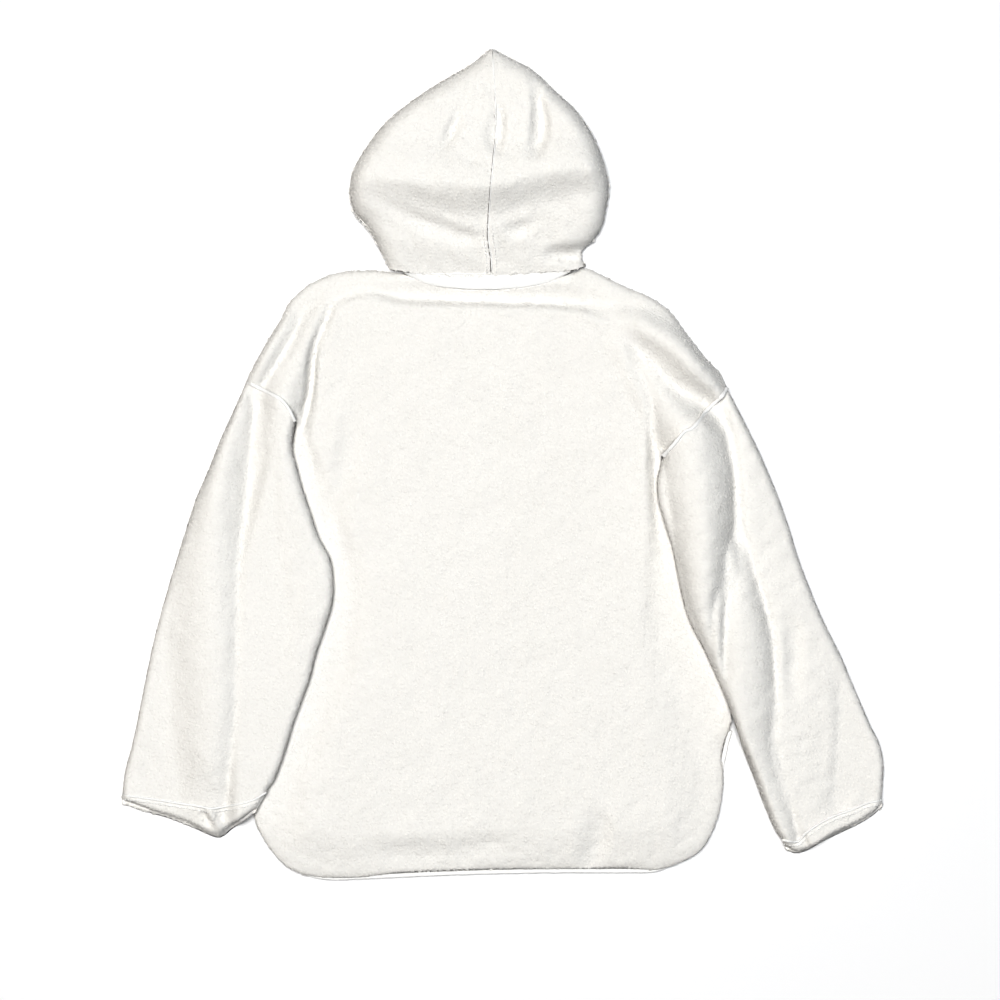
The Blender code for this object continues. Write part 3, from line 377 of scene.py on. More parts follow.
# The raised middle of the back: x, y and the width of its slope there
Ramp = namedtuple("Ramp", "x y width")
PLATEAU_EDGE = [
    Ramp(-184, 182, 9), Ramp(-191, 168, 8), Ramp(-207, 131, 8), Ramp(-209, 86, 9),
    Ramp(-213, 61, 11), Ramp(-219, 32, 13), Ramp(-210, -5, 18), Ramp(-196, -54, 24),
    Ramp(-177, -104, 26), Ramp(-172, -148, 29), Ramp(-184, -214, 33), Ramp(-210, -274, 37),
    Ramp(-233, -329, 40), Ramp(-251, -384, 44), Ramp(-240, -432, 46), Ramp(-168, -446, 48),
    Ramp(-3, -442, 48), Ramp(151, -442, 48), Ramp(204, -426, 46), Ramp(222, -378, 46),
    Ramp(219, -313, 48), Ramp(201, -252, 48), Ramp(180, -192, 42), Ramp(174, -123, 24),
    Ramp(170, -60, 16), Ramp(168, -5, 14), Ramp(166, 50, 13), Ramp(162, 78, 13),
    Ramp(150, 109, 18), Ramp(146, 145, 22), Ramp(120, 160, 16), Ramp(90, 174, 8),
    Ramp(63, 177, 6), Ramp(-3, 179, 5), Ramp(-69, 181, 5), Ramp(-113, 184, 6),
    Ramp(-145, 191, 8),
]
# Height of the hood's crown down its centre line: y, height
HOOD_PROFILE = [
    (208, HOOD_NECK), (224, 19.5), (240, 24), (262, 29), (287, 34), (303, HOOD_CROWN),
    (345, HOOD_CROWN), (400, 34), (456, HOOD_TIP),
]


# ---------------------------------------------------------------- curves and distances
def smooth(rows, steps=8):
    """A Catmull-Rom curve through the rows, as a dense line; further columns follow along."""
    p = np.array(rows, float)
    p = np.vstack([2 * p[0] - p[1], p, 2 * p[-1] - p[-2]])
    t = np.linspace(0, 1, steps, endpoint=False)[:, None]
    spans = [
        0.5 * (2 * b + (c - a) * t + (2 * a - 5 * b + 4 * c - d) * t**2
               + (3 * b - a - 3 * c + d) * t**3)
        for a, b, c, d in zip(p, p[1:], p[2:], p[3:])
    ]
    return np.vstack(spans + [p[-2:-1]])


def at(line, fractions):
    """Points of a line at these fractions of its length."""
    run = np.hypot(*np.diff(line[:, :2], axis=0).T)
    length = np.concatenate([[0], np.cumsum(run)])
    return np.stack([np.interp(np.array(fractions) * length[-1], length, c) for c in line.T], 1)


def offset(line, distance):
    """The line moved to its left."""
    step = np.gradient(line, axis=0)
    step /= np.hypot(*step.T)[:, None]
    return line + distance * np.stack([-step[:, 1], step[:, 0]], 1)


def nearest(points, line):
    """Distance to a line, its sign (+ on the left), and the place along it in rows."""
    a = line[:-1, :2]
    ab = line[1:, :2] - a
    w = points[..., None, :] - a
    u = np.clip((w * ab).sum(-1) / (ab * ab).sum(-1), 0, 1)
    d = np.hypot(*np.moveaxis(w - u[..., None] * ab, -1, 0))
    k = d.argmin(-1)[..., None]
    side = np.sign(ab[..., 0] * w[..., 1] - ab[..., 1] * w[..., 0])
    take = lambda values: np.take_along_axis(values, k, -1)[..., 0]
    return take(d), take(side), k[..., 0] + take(u)


def ease(u):
    """0 up to 0, 1 from 1, and a smooth step between."""
    u = np.clip(u, 0, 1)
    return u * u * (3 - 2 * u)


def crown(u):
    """A quarter round from 0 to 1."""
    return np.sqrt(1 - (1 - np.clip(u, 0, 1))**2)


def fold_height(points, rows):
    """Height that one fold adds at the points."""
    line = smooth(rows, 4)
    distance, side, along = nearest(points, line)
    at_foot = np.arange(len(line))
    height, left, right, left_end, right_end = (np.interp(along, at_foot, line[:, c])
                                                for c in range(2, 7))
    u = np.clip(distance / np.where(side > 0, left, right), 0, 1)
    return height * (1 - u * u)**np.where(side > 0, left_end, right_end)


def folds_height(points, folds):
    """Height that a set of folds adds at the points."""
    return sum(fold_height(points, rows) for rows in folds.values())


def inside(points, loop):
    """Which points lie inside a closed line."""
    x, y = points[..., 0, None], points[..., 1, None]
    ax, ay = loop[:, 0], loop[:, 1]
    bx, by = np.roll(ax, -1), np.roll(ay, -1)
    crosses = (ay > y) != (by > y)
    at_x = ax + (y - ay) * (bx - ax) / np.where(by == ay, 1, by - ay)
    return (crosses & (x < at_x)).sum(-1) % 2 == 1


# ---------------------------------------------------------------- grids
EDGE_STEPS = (0.7, 1.9, 3.6, 6.0, 9.0)    # grid lines beside an edge, in mm from it
SEAM_STEPS = (0.7, 1.9, 3.6)              # the same beside a sewn edge


def spread(length, near=EDGE_STEPS, far=EDGE_STEPS, cell=CELL):
    """Fractions across a length: fine steps at its two ends, even cells between."""
    near = np.array(near) / length
    far = 1 - np.array(far[::-1]) / length
    count = max(2, round((far[0] - near[-1]) * length / cell))
    even = np.linspace(near[-1], far[0], count + 1)[1:-1]
    return np.concatenate([[0.0], near, even, far, [1.0]])


def patch(head, foot, left, right, across, down):
    """A grid of places between four lines: left and right are already sampled at `down`."""
    top, bottom = at(head, across), at(foot, across)
    s, t = across[None, :, None], np.array(down)[:, None, None]
    left = left + (1 - t[:, 0]) * (top[0] - left[0]) + t[:, 0] * (bottom[0] - left[-1])
    right = right + (1 - t[:, 0]) * (top[-1] - right[0]) + t[:, 0] * (bottom[-1] - right[-1])
    corners = ((1 - s) * (1 - t) * top[0] + s * (1 - t) * top[-1]
               + (1 - s) * t * bottom[0] + s * t * bottom[-1])
    return (1 - t) * top + t * bottom + (1 - s) * left[:, None] + s * right[:, None] - corners


def split_side(first, second, down, split):
    """Places down two joined lines whose joint lies at the fraction `split`."""
    down = np.array(down)
    upper = at(first, np.clip(down / split, 0, 1))
    lower = at(second, np.clip((down - split) / (1 - split), 0, 1))
    return np.where((down <= split)[:, None], upper, lower)


def nearest_of(points, lines):
    """Distance to the nearest of several lines."""
    return np.min([nearest(points, line)[0] for line in lines], axis=0)


def from_sides(grid):
    """Distance of a grid's points to its left and right edges."""
    return nearest_of(grid, (grid[:, 0], grid[:, -1]))


def lumps(points, size, seed):
    """Soft uneven waves between about -1 and 1, whose crests are `size` apart."""
    random = np.random.default_rng(seed)
    angle = random.uniform(0, 2 * np.pi, 14)
    wave = 2 * np.pi / (size * random.uniform(0.7, 1.8, 14))
    phase = random.uniform(0, 2 * np.pi, 14)
    along = points[..., 0, None] * np.cos(angle) + points[..., 1, None] * np.sin(angle)
    return np.sin(along * wave + phase).sum(-1) / 4


# ---------------------------------------------------------------- meshes
def sheet_faces(rows, columns, start=0):
    """The cells of a grid whose points count from `start` row by row."""
    cells = [(r * columns + c + start) for r in range(rows - 1) for c in range(columns - 1)]
    return [(a, a + columns, a + columns + 1, a + 1) for a in cells]


def border(rows, columns):
    """Point numbers round the edge of a grid, in order."""
    top = list(range(columns))
    right = [r * columns + columns - 1 for r in range(1, rows)]
    bottom = [(rows - 1) * columns + c for c in range(columns - 2, -1, -1)]
    left = [r * columns for r in range(rows - 2, 0, -1)]
    return top + right + bottom + left


def mesh_object(name, points, faces, finish, pile=None, sink=0.0):
    """A smooth mesh object from points in mm; `pile` says where curls stand, from 0 to 1."""
    mesh = bpy.data.meshes.new(name)
    mesh.from_pydata(np.array(points) * MM, [], faces)
    work = bmesh.new()
    work.from_mesh(mesh)
    bmesh.ops.recalc_face_normals(work, faces=work.faces)
    work.to_mesh(mesh)
    work.free()
    if sink:
        place = np.array([v.co[:] for v in mesh.vertices])
        normal = np.array([v.normal[:] for v in mesh.vertices])
        rests = place[:, 2] < 0.4 * MM
        place -= sink * MM * normal
        place[rests, 2] = 0
        mesh.vertices.foreach_set("co", place.ravel())
    if pile is not None:
        layer = mesh.attributes.new("pile", "FLOAT", "POINT")
        up = np.array([v.normal[2] for v in mesh.vertices])
        high = np.array([v.co[2] for v in mesh.vertices])
        layer.data.foreach_set("value", pile * (up > -0.5) * (high > 1.2 * MM))
    mesh.materials.append(finish)
    mesh.shade_smooth()
    made = bpy.data.objects.new(name, mesh)
    bpy.context.scene.collection.objects.link(made)
    return made


def shell(name, grid, top, under, finish, show=None, sink=PILE_DEPTH):
    """A closed wall of cloth between two heights over one grid."""
    rows, columns = top.shape
    count = rows * columns
    points = np.concatenate([
        np.dstack([grid, top]).reshape(-1, 3),
        np.dstack([grid, under]).reshape(-1, 3),
    ])
    faces = sheet_faces(rows, columns)
    faces += [f[::-1] for f in sheet_faces(rows, columns, count)]
    loop = border(rows, columns)
    faces += [(a, b, b + count, a + count) for a, b in zip(loop, loop[1:] + loop[:1])]
    show = np.ones(top.shape) if show is None else show
    return mesh_object(name, points, faces, finish, np.tile(show.ravel(), 2), sink)


def tube(name, grid, top, under, slit_top, slit_under, inset, finish, show):
    """A flattened tube: two layers joined down both long edges, with a slit between them."""
    rows, columns = top.shape
    points, pile, place = [], [], {}

    def put(skin, r, c, z, curls):
        place[skin, r, c] = len(points)
        points.append((*grid[r, c], z))
        pile.append(curls)

    inner = range(inset, columns - inset)
    for r in range(rows):
        for c in range(columns):
            put("top", r, c, top[r, c], show[r, c])
            if 0 < c < columns - 1:
                put("under", r, c, under[r, c], show[r, c])
            else:
                place["under", r, c] = place["top", r, c]
        for c in inner:
            if c in (inner[0], inner[-1]):
                put("slit top", r, c, (slit_top[r, c] + slit_under[r, c]) / 2, 0)
                place["slit under", r, c] = place["slit top", r, c]
            else:
                put("slit top", r, c, slit_top[r, c], 0)
                put("slit under", r, c, slit_under[r, c], 0)

    faces = []
    for r in range(rows - 1):
        for skin, span in (("top", range(columns - 1)), ("under", range(columns - 1)),
                           ("slit top", inner[:-1]), ("slit under", inner[:-1])):
            for c in span:
                faces.append((place[skin, r, c], place[skin, r + 1, c],
                              place[skin, r + 1, c + 1], place[skin, r, c + 1]))
    for r in (0, rows - 1):
        for skin, lining in (("top", "slit top"), ("under", "slit under")):
            for c in inner[:-1]:
                faces.append((place[skin, r, c], place[lining, r, c],
                              place[lining, r, c + 1], place[skin, r, c + 1]))
        for edge, step, hinge in ((range(inset, 0, -1), -1, inner[0]),
                                  (range(columns - 1 - inset, columns - 1), 1, inner[-1])):
            for c in edge:
                for skin in ("top", "under"):
                    faces.append((place[skin, r, c], place[skin, r, c + step],
                                  place["slit top", r, hinge]))
    return mesh_object(name, points, faces, finish, np.array(pile), PILE_DEPTH)


def dress(piece, slot, *nodes):
    """The piece rides on the one body and stands for its nodes; its slot is not used."""
    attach(piece, "root")
    if nodes:
        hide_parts(*nodes)


def surface_heights(places, pieces, reach=2.0):
    """Height of the pieces under each place, in mm, at the highest of three spots beside it."""
    trees = []
    for piece in pieces:
        mesh = piece.data
        trees.append(BVHTree.FromPolygons([v.co[:] for v in mesh.vertices],
                                          [p.vertices[:] for p in mesh.polygons]))
    step = np.gradient(places, axis=0)
    across = np.stack([-step[:, 1], step[:, 0]], 1) / np.hypot(*step.T)[:, None]
    heights = np.zeros(len(places))
    for n, place in enumerate(places):
        for aside in (-reach, 0, reach):
            x, y = (place + aside * across[n]) * MM
            for tree in trees:
                hit = tree.ray_cast(Vector((x, y, 0.2)), Vector((0, 0, -1)))[0]
                if hit is not None:
                    heights[n] = max(heights[n], hit[2] / MM)
    return heights


# ---------------------------------------------------------------- shader groups and materials
def node(tree, kind, place, **values):
    """A node of a tree; values go to its properties, or to inputs of that name."""
    made = tree.nodes.new(kind)
    made.location = place
    for name, value in values.items():
        if name in made.bl_rna.properties:
            setattr(made, name, value)
        else:
            made.inputs[name.replace("_", " ")].default_value = value
    return made


def fill(made, values):
    """Sets inputs of a node by their names."""
    for label, value in values.items():
        made.inputs[label].default_value = value


def wire(tree, *rows):
    """Links of a tree; a row holds a node, its output, the next node and its input."""
    for start, output, end, socket in rows:
        tree.links.new(start.outputs[output], end.inputs[socket])


def fleece_group():
    """Pale fleece: soft patches of tone, painted shade between the curls, and the height of fine
    curled fibres.
    """
    name = "curled fleece"
    if name in bpy.data.node_groups:
        return bpy.data.node_groups[name]
    tree = bpy.data.node_groups.new(name, "ShaderNodeTree")
    for label, kind in (("Light", "Color"), ("Shade", "Color"), ("Patch Scale", "Float"),
                        ("Curl Scale", "Float"), ("Depth Shade", "Float")):
        tree.interface.new_socket(label, in_out="INPUT", socket_type="NodeSocket" + kind)
    tree.interface.new_socket("Color", in_out="OUTPUT", socket_type="NodeSocketColor")
    tree.interface.new_socket("Height", in_out="OUTPUT", socket_type="NodeSocketFloat")
    enter = node(tree, "NodeGroupInput", (-1100, 0))
    leave = node(tree, "NodeGroupOutput", (700, 0))
    place = node(tree, "ShaderNodeTexCoord", (-1100, 300))
    patches = node(tree, "ShaderNodeTexNoise", (-600, 400), Detail=3.0, Roughness=0.6)
    bend = node(tree, "ShaderNodeTexNoise", (-850, -250), Detail=2.0)
    warp = node(tree, "ShaderNodeMixRGB", (-600, -250), blend_type="LINEAR_LIGHT")
    warp.inputs["Fac"].default_value = 0.004
    curls = node(tree, "ShaderNodeTexVoronoi", (-350, -200), feature="SMOOTH_F1", Smoothness=0.4)
    fibre = node(tree, "ShaderNodeTexNoise", (-350, -500), Detail=4.0, Roughness=0.7)
    finer = node(tree, "ShaderNodeMath", (-850, -550), operation="MULTIPLY")
    finer.inputs[1].default_value = 2.7
    rise = node(tree, "ShaderNodeMath", (-100, -200), operation="SUBTRACT")
    rise.inputs[0].default_value = 0.8
    add = node(tree, "ShaderNodeMath", (100, -300), operation="MULTIPLY_ADD")
    add.inputs[1].default_value = 0.45
    # painted shade: the colour turns towards Shade between the curls, as far as Depth Shade sets
    painted_shade = node(tree, "ShaderNodeMath", (100, -50), operation="MULTIPLY")
    total = node(tree, "ShaderNodeMath", (250, 100), operation="ADD", use_clamp=True)
    spread_patch = node(tree, "ShaderNodeMapRange", (-350, 300))
    spread_patch.inputs["From Min"].default_value = 0.35
    spread_patch.inputs["From Max"].default_value = 0.75
    tone = node(tree, "ShaderNodeMixRGB", (450, 150))
    wire(tree, (place, "Object", patches, "Vector"), (enter, "Patch Scale", patches, "Scale"),
         (place, "Object", bend, "Vector"), (enter, "Curl Scale", bend, "Scale"),
         (place, "Object", warp, "Color1"), (bend, "Color", warp, "Color2"),
         (warp, "Color", curls, "Vector"), (enter, "Curl Scale", curls, "Scale"),
         (enter, "Curl Scale", finer, 0), (warp, "Color", fibre, "Vector"),
         (finer, 0, fibre, "Scale"), (curls, "Distance", rise, 1), (fibre, "Fac", add, 0),
         (rise, 0, add, 2), (add, 0, leave, "Height"), (curls, "Distance", painted_shade, 0),
         (enter, "Depth Shade", painted_shade, 1), (patches, "Fac", spread_patch, "Value"),
         (spread_patch, "Result", total, 0), (painted_shade, 0, total, 1), (total, 0, tone, "Fac"),
         (enter, "Light", tone, "Color1"), (enter, "Shade", tone, "Color2"),
         (tone, "Color", leave, "Color"))
    return tree


# A finish of cloth: size of its patches of tone and of its curls or ribs, how much painted shade
# darkens the gaps between them, height of its relief, roughness, and how much light it scatters at
# and below its surface
Finish = namedtuple("Finish", "patch curl hollows relief rough sheen glow", defaults=(0.0, 0.0))
FINISHES = {
    "fleece ground": Finish(0.035, 0.0030, 0.15, 0.00014, 0.95),
    "fleece curls": Finish(0.05, 0.0016, 0.15, 0.00008, 0.95),
    "jersey tape": Finish(0.012, 0.0009, 0.3, 0.00012, 0.75),
    "sewing thread": Finish(0.004, 0.0005, 0.2, 0.0001, 0.6, 0.1, 0.1),
}


def cloth(name, settings):
    """The material of a finish, in the colours of the fleece or of the tape."""
    if name in bpy.data.materials:
        return bpy.data.materials[name]
    finish = FINISHES[name]
    fleece = name.startswith("fleece")
    made = bpy.data.materials.new(name)
    made.use_nodes = True
    tree = made.node_tree
    shader = tree.nodes["Principled BSDF"]
    group = node(tree, "ShaderNodeGroup", (-500, 0), node_tree=fleece_group())
    raised = node(tree, "ShaderNodeBump", (-250, -250), Strength=1.0, Distance=finish.relief)
    fill(group, {
        "Light": (*(settings.colour if fleece else settings.tape), 1),
        "Shade": (*(settings.shade if fleece else settings.tape_shade), 1),
        "Patch Scale": 1 / finish.patch, "Curl Scale": 1 / finish.curl,
        # Depth Shade sets the painted shade: darker towards the Shade colour between the curls or
        # ribs
        "Depth Shade": finish.hollows,
    })
    fill(shader, {
        "Roughness": finish.rough, "Specular IOR Level": 0.15,
        "Sheen Weight": finish.sheen, "Sheen Roughness": 0.4,
        "Subsurface Weight": finish.glow, "Subsurface Radius": (1.0, 0.97, 0.92),
        "Subsurface Scale": 0.004,
    })
    shader.subsurface_method = "BURLEY"
    wire(tree, (group, "Color", shader, "Base Color"), (group, "Height", raised, "Height"),
         (raised, "Normal", shader, "Normal"))
    return made


# ---------------------------------------------------------------- geometry node trees
def geometry_tree(name, inputs):
    """A new geometry node tree with these named inputs: label, socket kind, default."""
    tree = bpy.data.node_groups.new(name, "GeometryNodeTree")
    tree.interface.new_socket("Geometry", in_out="INPUT", socket_type="NodeSocketGeometry")
    for label, kind, default in inputs:
        made = tree.interface.new_socket(label, in_out="INPUT", socket_type="NodeSocket" + kind)
        if default is not None:
            made.default_value = default
    tree.interface.new_socket("Geometry", in_out="OUTPUT", socket_type="NodeSocketGeometry")
    return tree


def pile_tree():
    """Curls of pile, scattered evenly over a mesh where its attribute `pile` allows."""
    name = "curly pile"
    if name in bpy.data.node_groups:
        return bpy.data.node_groups[name]
    tree = geometry_tree(name, (
        ("Spacing", "Float", 0.0035), ("Curl Radius", "Float", 0.0017),
        ("Strand Radius", "Float", 0.0008), ("Lift", "Float", 0.00022),
        ("Tilt", "Float", 0.1), ("Seed", "Int", 1), ("Material", "Material", None),
    ))
    enter = node(tree, "NodeGroupInput", (-1300, 0))
    leave = node(tree, "NodeGroupOutput", (1100, 0))
    mask = node(tree, "GeometryNodeInputNamedAttribute", (-1100, -250), data_type="FLOAT")
    mask.inputs["Name"].default_value = "pile"
    points = node(tree, "GeometryNodeDistributePointsOnFaces", (-800, 100),
                  distribute_method="POISSON")
    points.inputs["Density Max"].default_value = 400000.0
    wire(tree, (enter, "Geometry", points, "Mesh"), (enter, "Spacing", points, "Distance Min"),
         (mask, "Attribute", points, "Density Factor"), (enter, "Seed", points, "Seed"))

    profile = node(tree, "GeometryNodeCurvePrimitiveCircle", (-800, -500))
    profile.inputs["Resolution"].default_value = 3
    wire(tree, (enter, "Strand Radius", profile, "Radius"))
    shapes = node(tree, "GeometryNodeGeometryToInstance", (0, -400))
    for n, sweep in enumerate((2.6, 3.9, 5.0)):
        arc = node(tree, "GeometryNodeCurveArc", (-800, -700 - 250 * n))
        arc.inputs["Resolution"].default_value = 4
        arc.inputs["Sweep Angle"].default_value = sweep
        wire(tree, (enter, "Curl Radius", arc, "Radius"))
        strand = node(tree, "GeometryNodeCurveToMesh", (-500, -600 - 250 * n))
        strand.inputs["Fill Caps"].default_value = True
        wire(tree, (arc, "Curve", strand, "Curve"), (profile, "Curve", strand, "Profile Curve"),
             (strand, "Mesh", shapes, "Geometry"))

    low = node(tree, "ShaderNodeCombineXYZ", (-1000, 500))
    high = node(tree, "ShaderNodeCombineXYZ", (-1000, 700))
    less = node(tree, "ShaderNodeMath", (-1150, 500), operation="MULTIPLY")
    less.inputs[1].default_value = -1.0
    wire(tree, (enter, "Tilt", less, 0))
    for axis in ("X", "Y"):
        wire(tree, (less, 0, low, axis), (enter, "Tilt", high, axis))
    high.inputs["Z"].default_value = 6.2832
    turn = node(tree, "FunctionNodeRandomValue", (-700, 600), data_type="FLOAT_VECTOR")
    wire(tree, (low, 0, turn, "Min"), (high, 0, turn, "Max"), (enter, "Seed", turn, "Seed"))
    euler = node(tree, "FunctionNodeEulerToRotation", (-450, 600))
    wire(tree, (turn, "Value", euler, "Euler"))
    rotate = node(tree, "FunctionNodeRotateRotation", (-250, 400), rotation_space="LOCAL")
    wire(tree, (points, "Rotation", rotate, "Rotation"), (euler, "Rotation", rotate, "Rotate By"))
    size = node(tree, "FunctionNodeRandomValue", (-250, 200), data_type="FLOAT_VECTOR")
    size.inputs["Min"].default_value = (0.9, 0.9, 0.22)
    size.inputs["Max"].default_value = (1.3, 1.3, 0.32)
    place = node(tree, "GeometryNodeInstanceOnPoints", (250, 100))
    place.inputs["Pick Instance"].default_value = True
    wire(tree, (points, "Points", place, "Points"), (shapes, "Instances", place, "Instance"),
         (rotate, "Rotation", place, "Rotation"), (size, "Value", place, "Scale"))
    rise = node(tree, "ShaderNodeCombineXYZ", (250, -150))
    wire(tree, (enter, "Lift", rise, "Z"))
    lift = node(tree, "GeometryNodeTranslateInstances", (450, 100))
    wire(tree, (place, "Instances", lift, "Instances"), (rise, 0, lift, "Translation"))
    real = node(tree, "GeometryNodeRealizeInstances", (620, 100))
    even = node(tree, "GeometryNodeSetShadeSmooth", (780, 100))
    even.inputs["Shade Smooth"].default_value = False
    finish = node(tree, "GeometryNodeSetMaterial", (940, 100))
    wire(tree, (lift, "Instances", real, "Geometry"), (real, "Geometry", even, "Geometry"),
         (even, "Geometry", finish, "Geometry"), (enter, "Material", finish, "Material"),
         (finish, "Geometry", leave, "Geometry"))
    return tree


def stitch_tree():
    """Rounded stitches laid end to end along a line of edges."""
    name = "stitches along a path"
    if name in bpy.data.node_groups:
        return bpy.data.node_groups[name]
    tree = geometry_tree(name, (
        ("Pitch", "Float", 0.003), ("Length", "Float", 0.0011), ("Thickness", "Float", 0.0005),
        ("Material", "Material", None),
    ))
    enter = node(tree, "NodeGroupInput", (-900, 0))
    leave = node(tree, "NodeGroupOutput", (900, 0))
    line = node(tree, "GeometryNodeMeshToCurve", (-700, 100))
    even = node(tree, "GeometryNodeResampleCurve", (-500, 100), mode="LENGTH")
    tangent = node(tree, "GeometryNodeInputTangent", (-500, -150))
    turn = node(tree, "FunctionNodeAlignRotationToVector", (-300, -150), axis="X")
    ball = node(tree, "GeometryNodeMeshIcoSphere", (-500, -400))
    ball.inputs["Radius"].default_value = 1.0
    ball.inputs["Subdivisions"].default_value = 2
    size = node(tree, "ShaderNodeCombineXYZ", (-300, -350))
    place = node(tree, "GeometryNodeInstanceOnPoints", (-50, 100))
    real = node(tree, "GeometryNodeRealizeInstances", (200, 100))
    smooth_it = node(tree, "GeometryNodeSetShadeSmooth", (400, 100))
    finish = node(tree, "GeometryNodeSetMaterial", (600, 100))
    wire(tree, (enter, "Geometry", line, "Mesh"), (line, "Curve", even, "Curve"),
         (enter, "Pitch", even, "Length"), (tangent, "Tangent", turn, "Vector"),
         (enter, "Length", size, "X"), (enter, "Thickness", size, "Y"),
         (enter, "Thickness", size, "Z"), (even, "Curve", place, "Points"),
         (ball, "Mesh", place, "Instance"), (turn, "Rotation", place, "Rotation"),
         (size, "Vector", place, "Scale"), (place, "Instances", real, "Geometry"),
         (real, "Geometry", smooth_it, "Geometry"), (smooth_it, "Geometry", finish, "Geometry"),
         (enter, "Material", finish, "Material"), (finish, "Geometry", leave, "Geometry"))
    return tree


def evaluated(carrier, tree, name, values):
    """A plain mesh object of what a tree makes on the carrier object."""
    modifier = carrier.modifiers.new(tree.name, "NODES")
    modifier.node_group = tree
    sockets = {s.name: s.identifier for s in tree.interface.items_tree if s.in_out == "INPUT"}
    for label, value in values.items():
        modifier[sockets[label]] = value
    graph = bpy.context.evaluated_depsgraph_get()
    mesh = bpy.data.meshes.new_from_object(carrier.evaluated_get(graph), depsgraph=graph)
    carrier.modifiers.remove(modifier)
    mesh.name = name
    made = bpy.data.objects.new(name, mesh)
    bpy.context.scene.collection.objects.link(made)
    return made


def grow_pile(piece, name, settings, seed, bands=1):
    """Pile on a fleece piece, in as many bands from top to foot as keep each mesh light."""
    mesh = piece.data
    whole = np.zeros(len(mesh.vertices))
    mesh.attributes["pile"].data.foreach_get("value", whole)
    y = np.array([v.co[1] for v in mesh.vertices])
    cuts = np.quantile(y[whole > 0.5], np.linspace(0, 1, bands + 1))
    cuts[0], cuts[-1] = -10, 10
    made = []
    for n in range(bands):
        kept = whole * (y >= cuts[n]) * (y < cuts[n + 1])
        mesh.attributes["pile"].data.foreach_set("value", kept)
        mesh.update()
        label = name if bands == 1 else f"{name}_{n + 1}"
        pile = evaluated(piece, pile_tree(), label, {
            "Spacing": settings.spacing, "Curl Radius": settings.curl,
            "Strand Radius": settings.strand, "Seed": seed + n,
            "Material": cloth("fleece curls", settings),
        })
        place = np.zeros(len(pile.data.vertices) * 3)
        pile.data.vertices.foreach_get("co", place)
        place[2::3] = np.maximum(place[2::3], 0.1 * MM)
        pile.data.vertices.foreach_set("co", place)
        dress(pile, "fleece")
        made.append(pile)
    mesh.attributes["pile"].data.foreach_set("value", whole)
    return made


# ---------------------------------------------------------------- the body
ARMHOLE_SHARE = 0.14     # the share of the body grid's rows that the armholes take
ARMHOLE_CELLS = 20
BODY_WIDTH = 560.0
BODY_LENGTH = 530.0      # from the armholes to the hem
NECK_LEFT = -110.0       # where the neck's seam starts and ends along the back's upper edge
NECK_RIGHT = 76.0
FRONT_NECK_LEFT = -130.0            # the same for the front
FRONT_NECK_RIGHT = 90.0
UNDERSIDE_EASE = 12.0    # width over which the back's underside follows its folds


def body_rows():
    """Fractions down the body: even down the armhole, then finer at the hem."""
    upper = np.linspace(0, ARMHOLE_SHARE, ARMHOLE_CELLS)
    lower = spread(BODY_LENGTH, near=(CELL,))
    return np.concatenate([upper, ARMHOLE_SHARE + (1 - ARMHOLE_SHARE) * lower[1:]])


def clear_of_sleeves(points, margin=3.0, width=2.5):
    """0 where a sleeve lies on the body, 1 elsewhere."""
    left = np.vstack([smooth(ARMHOLE_LEFT), smooth(SLEEVE_LEFT_INNER)[1:]])
    right = np.vstack([smooth(ARMHOLE_RIGHT), smooth(SLEEVE_RIGHT_INNER)[1:]])
    keep = np.ones(points.shape[:-1])
    for line, body_side in ((left, 1), (right, -1)):
        distance, side, _ = nearest(points, line)
        keep *= ease((distance * side * body_side + margin) / width)
    return keep


def back_relief(points):
    """Height of the folds of the back above the flat cloth."""
    loop = smooth(PLATEAU_EDGE + PLATEAU_EDGE[:1], 3)
    distance, _, along = nearest(points, loop)
    width = np.interp(along, np.arange(len(loop)), loop[:, 2])
    raised = PLATEAU * ease(distance / width) * inside(points, loop[:-1])
    soft = 0.35 * lumps(points, 34, 5) + 0.3 * lumps(points, 12, 8)
    return np.maximum(raised + soft + folds_height(points, BACK_FOLDS), DEEPEST_CREASE)


def back_panel(settings):
    """The back of the body over the front, without pile where the sleeves lie on it."""
    down = body_rows()
    left = split_side(smooth(ARMHOLE_LEFT), smooth(SIDE_LEFT), down, ARMHOLE_SHARE)
    right = split_side(smooth(ARMHOLE_RIGHT), smooth(SIDE_RIGHT), down, ARMHOLE_SHARE)
    shoulders = smooth(SHOULDERS)
    grid = patch(shoulders, smooth(HEM), left, right, spread(BODY_WIDTH), down)
    clear = clear_of_sleeves(grid)
    relief = back_relief(grid) * clear
    x = shoulders[:, 0]
    at_neck = (x > NECK_LEFT - 2) & (x < NECK_RIGHT + 1)
    turned = [shoulders[x < NECK_LEFT], shoulders[x > NECK_RIGHT],
              smooth(SIDE_LEFT), smooth(SIDE_RIGHT), smooth(HEM)]
    armholes = [smooth(ARMHOLE_LEFT), smooth(ARMHOLE_RIGHT)]
    to_edge = nearest_of(grid, turned)
    to_armhole = nearest_of(grid, armholes)
    to_seam = np.minimum(to_armhole, nearest(grid, shoulders[at_neck])[0])
    rim = FLEECE + GAP + RIM
    top = rim + (BODY_FLAT + relief - rim) * crown(to_edge / EDGE_ROLL)
    top -= SEAM_SINK * (1 - crown(to_armhole / SEAM_ROLL))
    under = FLEECE + GAP + np.maximum(relief - 1, 0) * ease((to_edge - 1) / UNDERSIDE_EASE)
    top = np.maximum(top, under + RIM)
    show = ease((to_seam - BARE_SEAM) / 1.0) * clear_of_sleeves(grid, 9.0, 3.0)
    back = shell("back_cloth", grid, top, under, cloth("fleece ground", settings), show)
    dress(back, "fleece", "back_panel")
    pile = grow_pile(back, "back_pile", settings, 11, bands=2)
    return back


def side_with_vent(side, vent):
    """A side of the front: as the back's down to the vent, then round the vent."""
    above = [row for row in side if row[1] > vent[0][1]]
    return np.vstack([smooth(above), smooth(vent)])


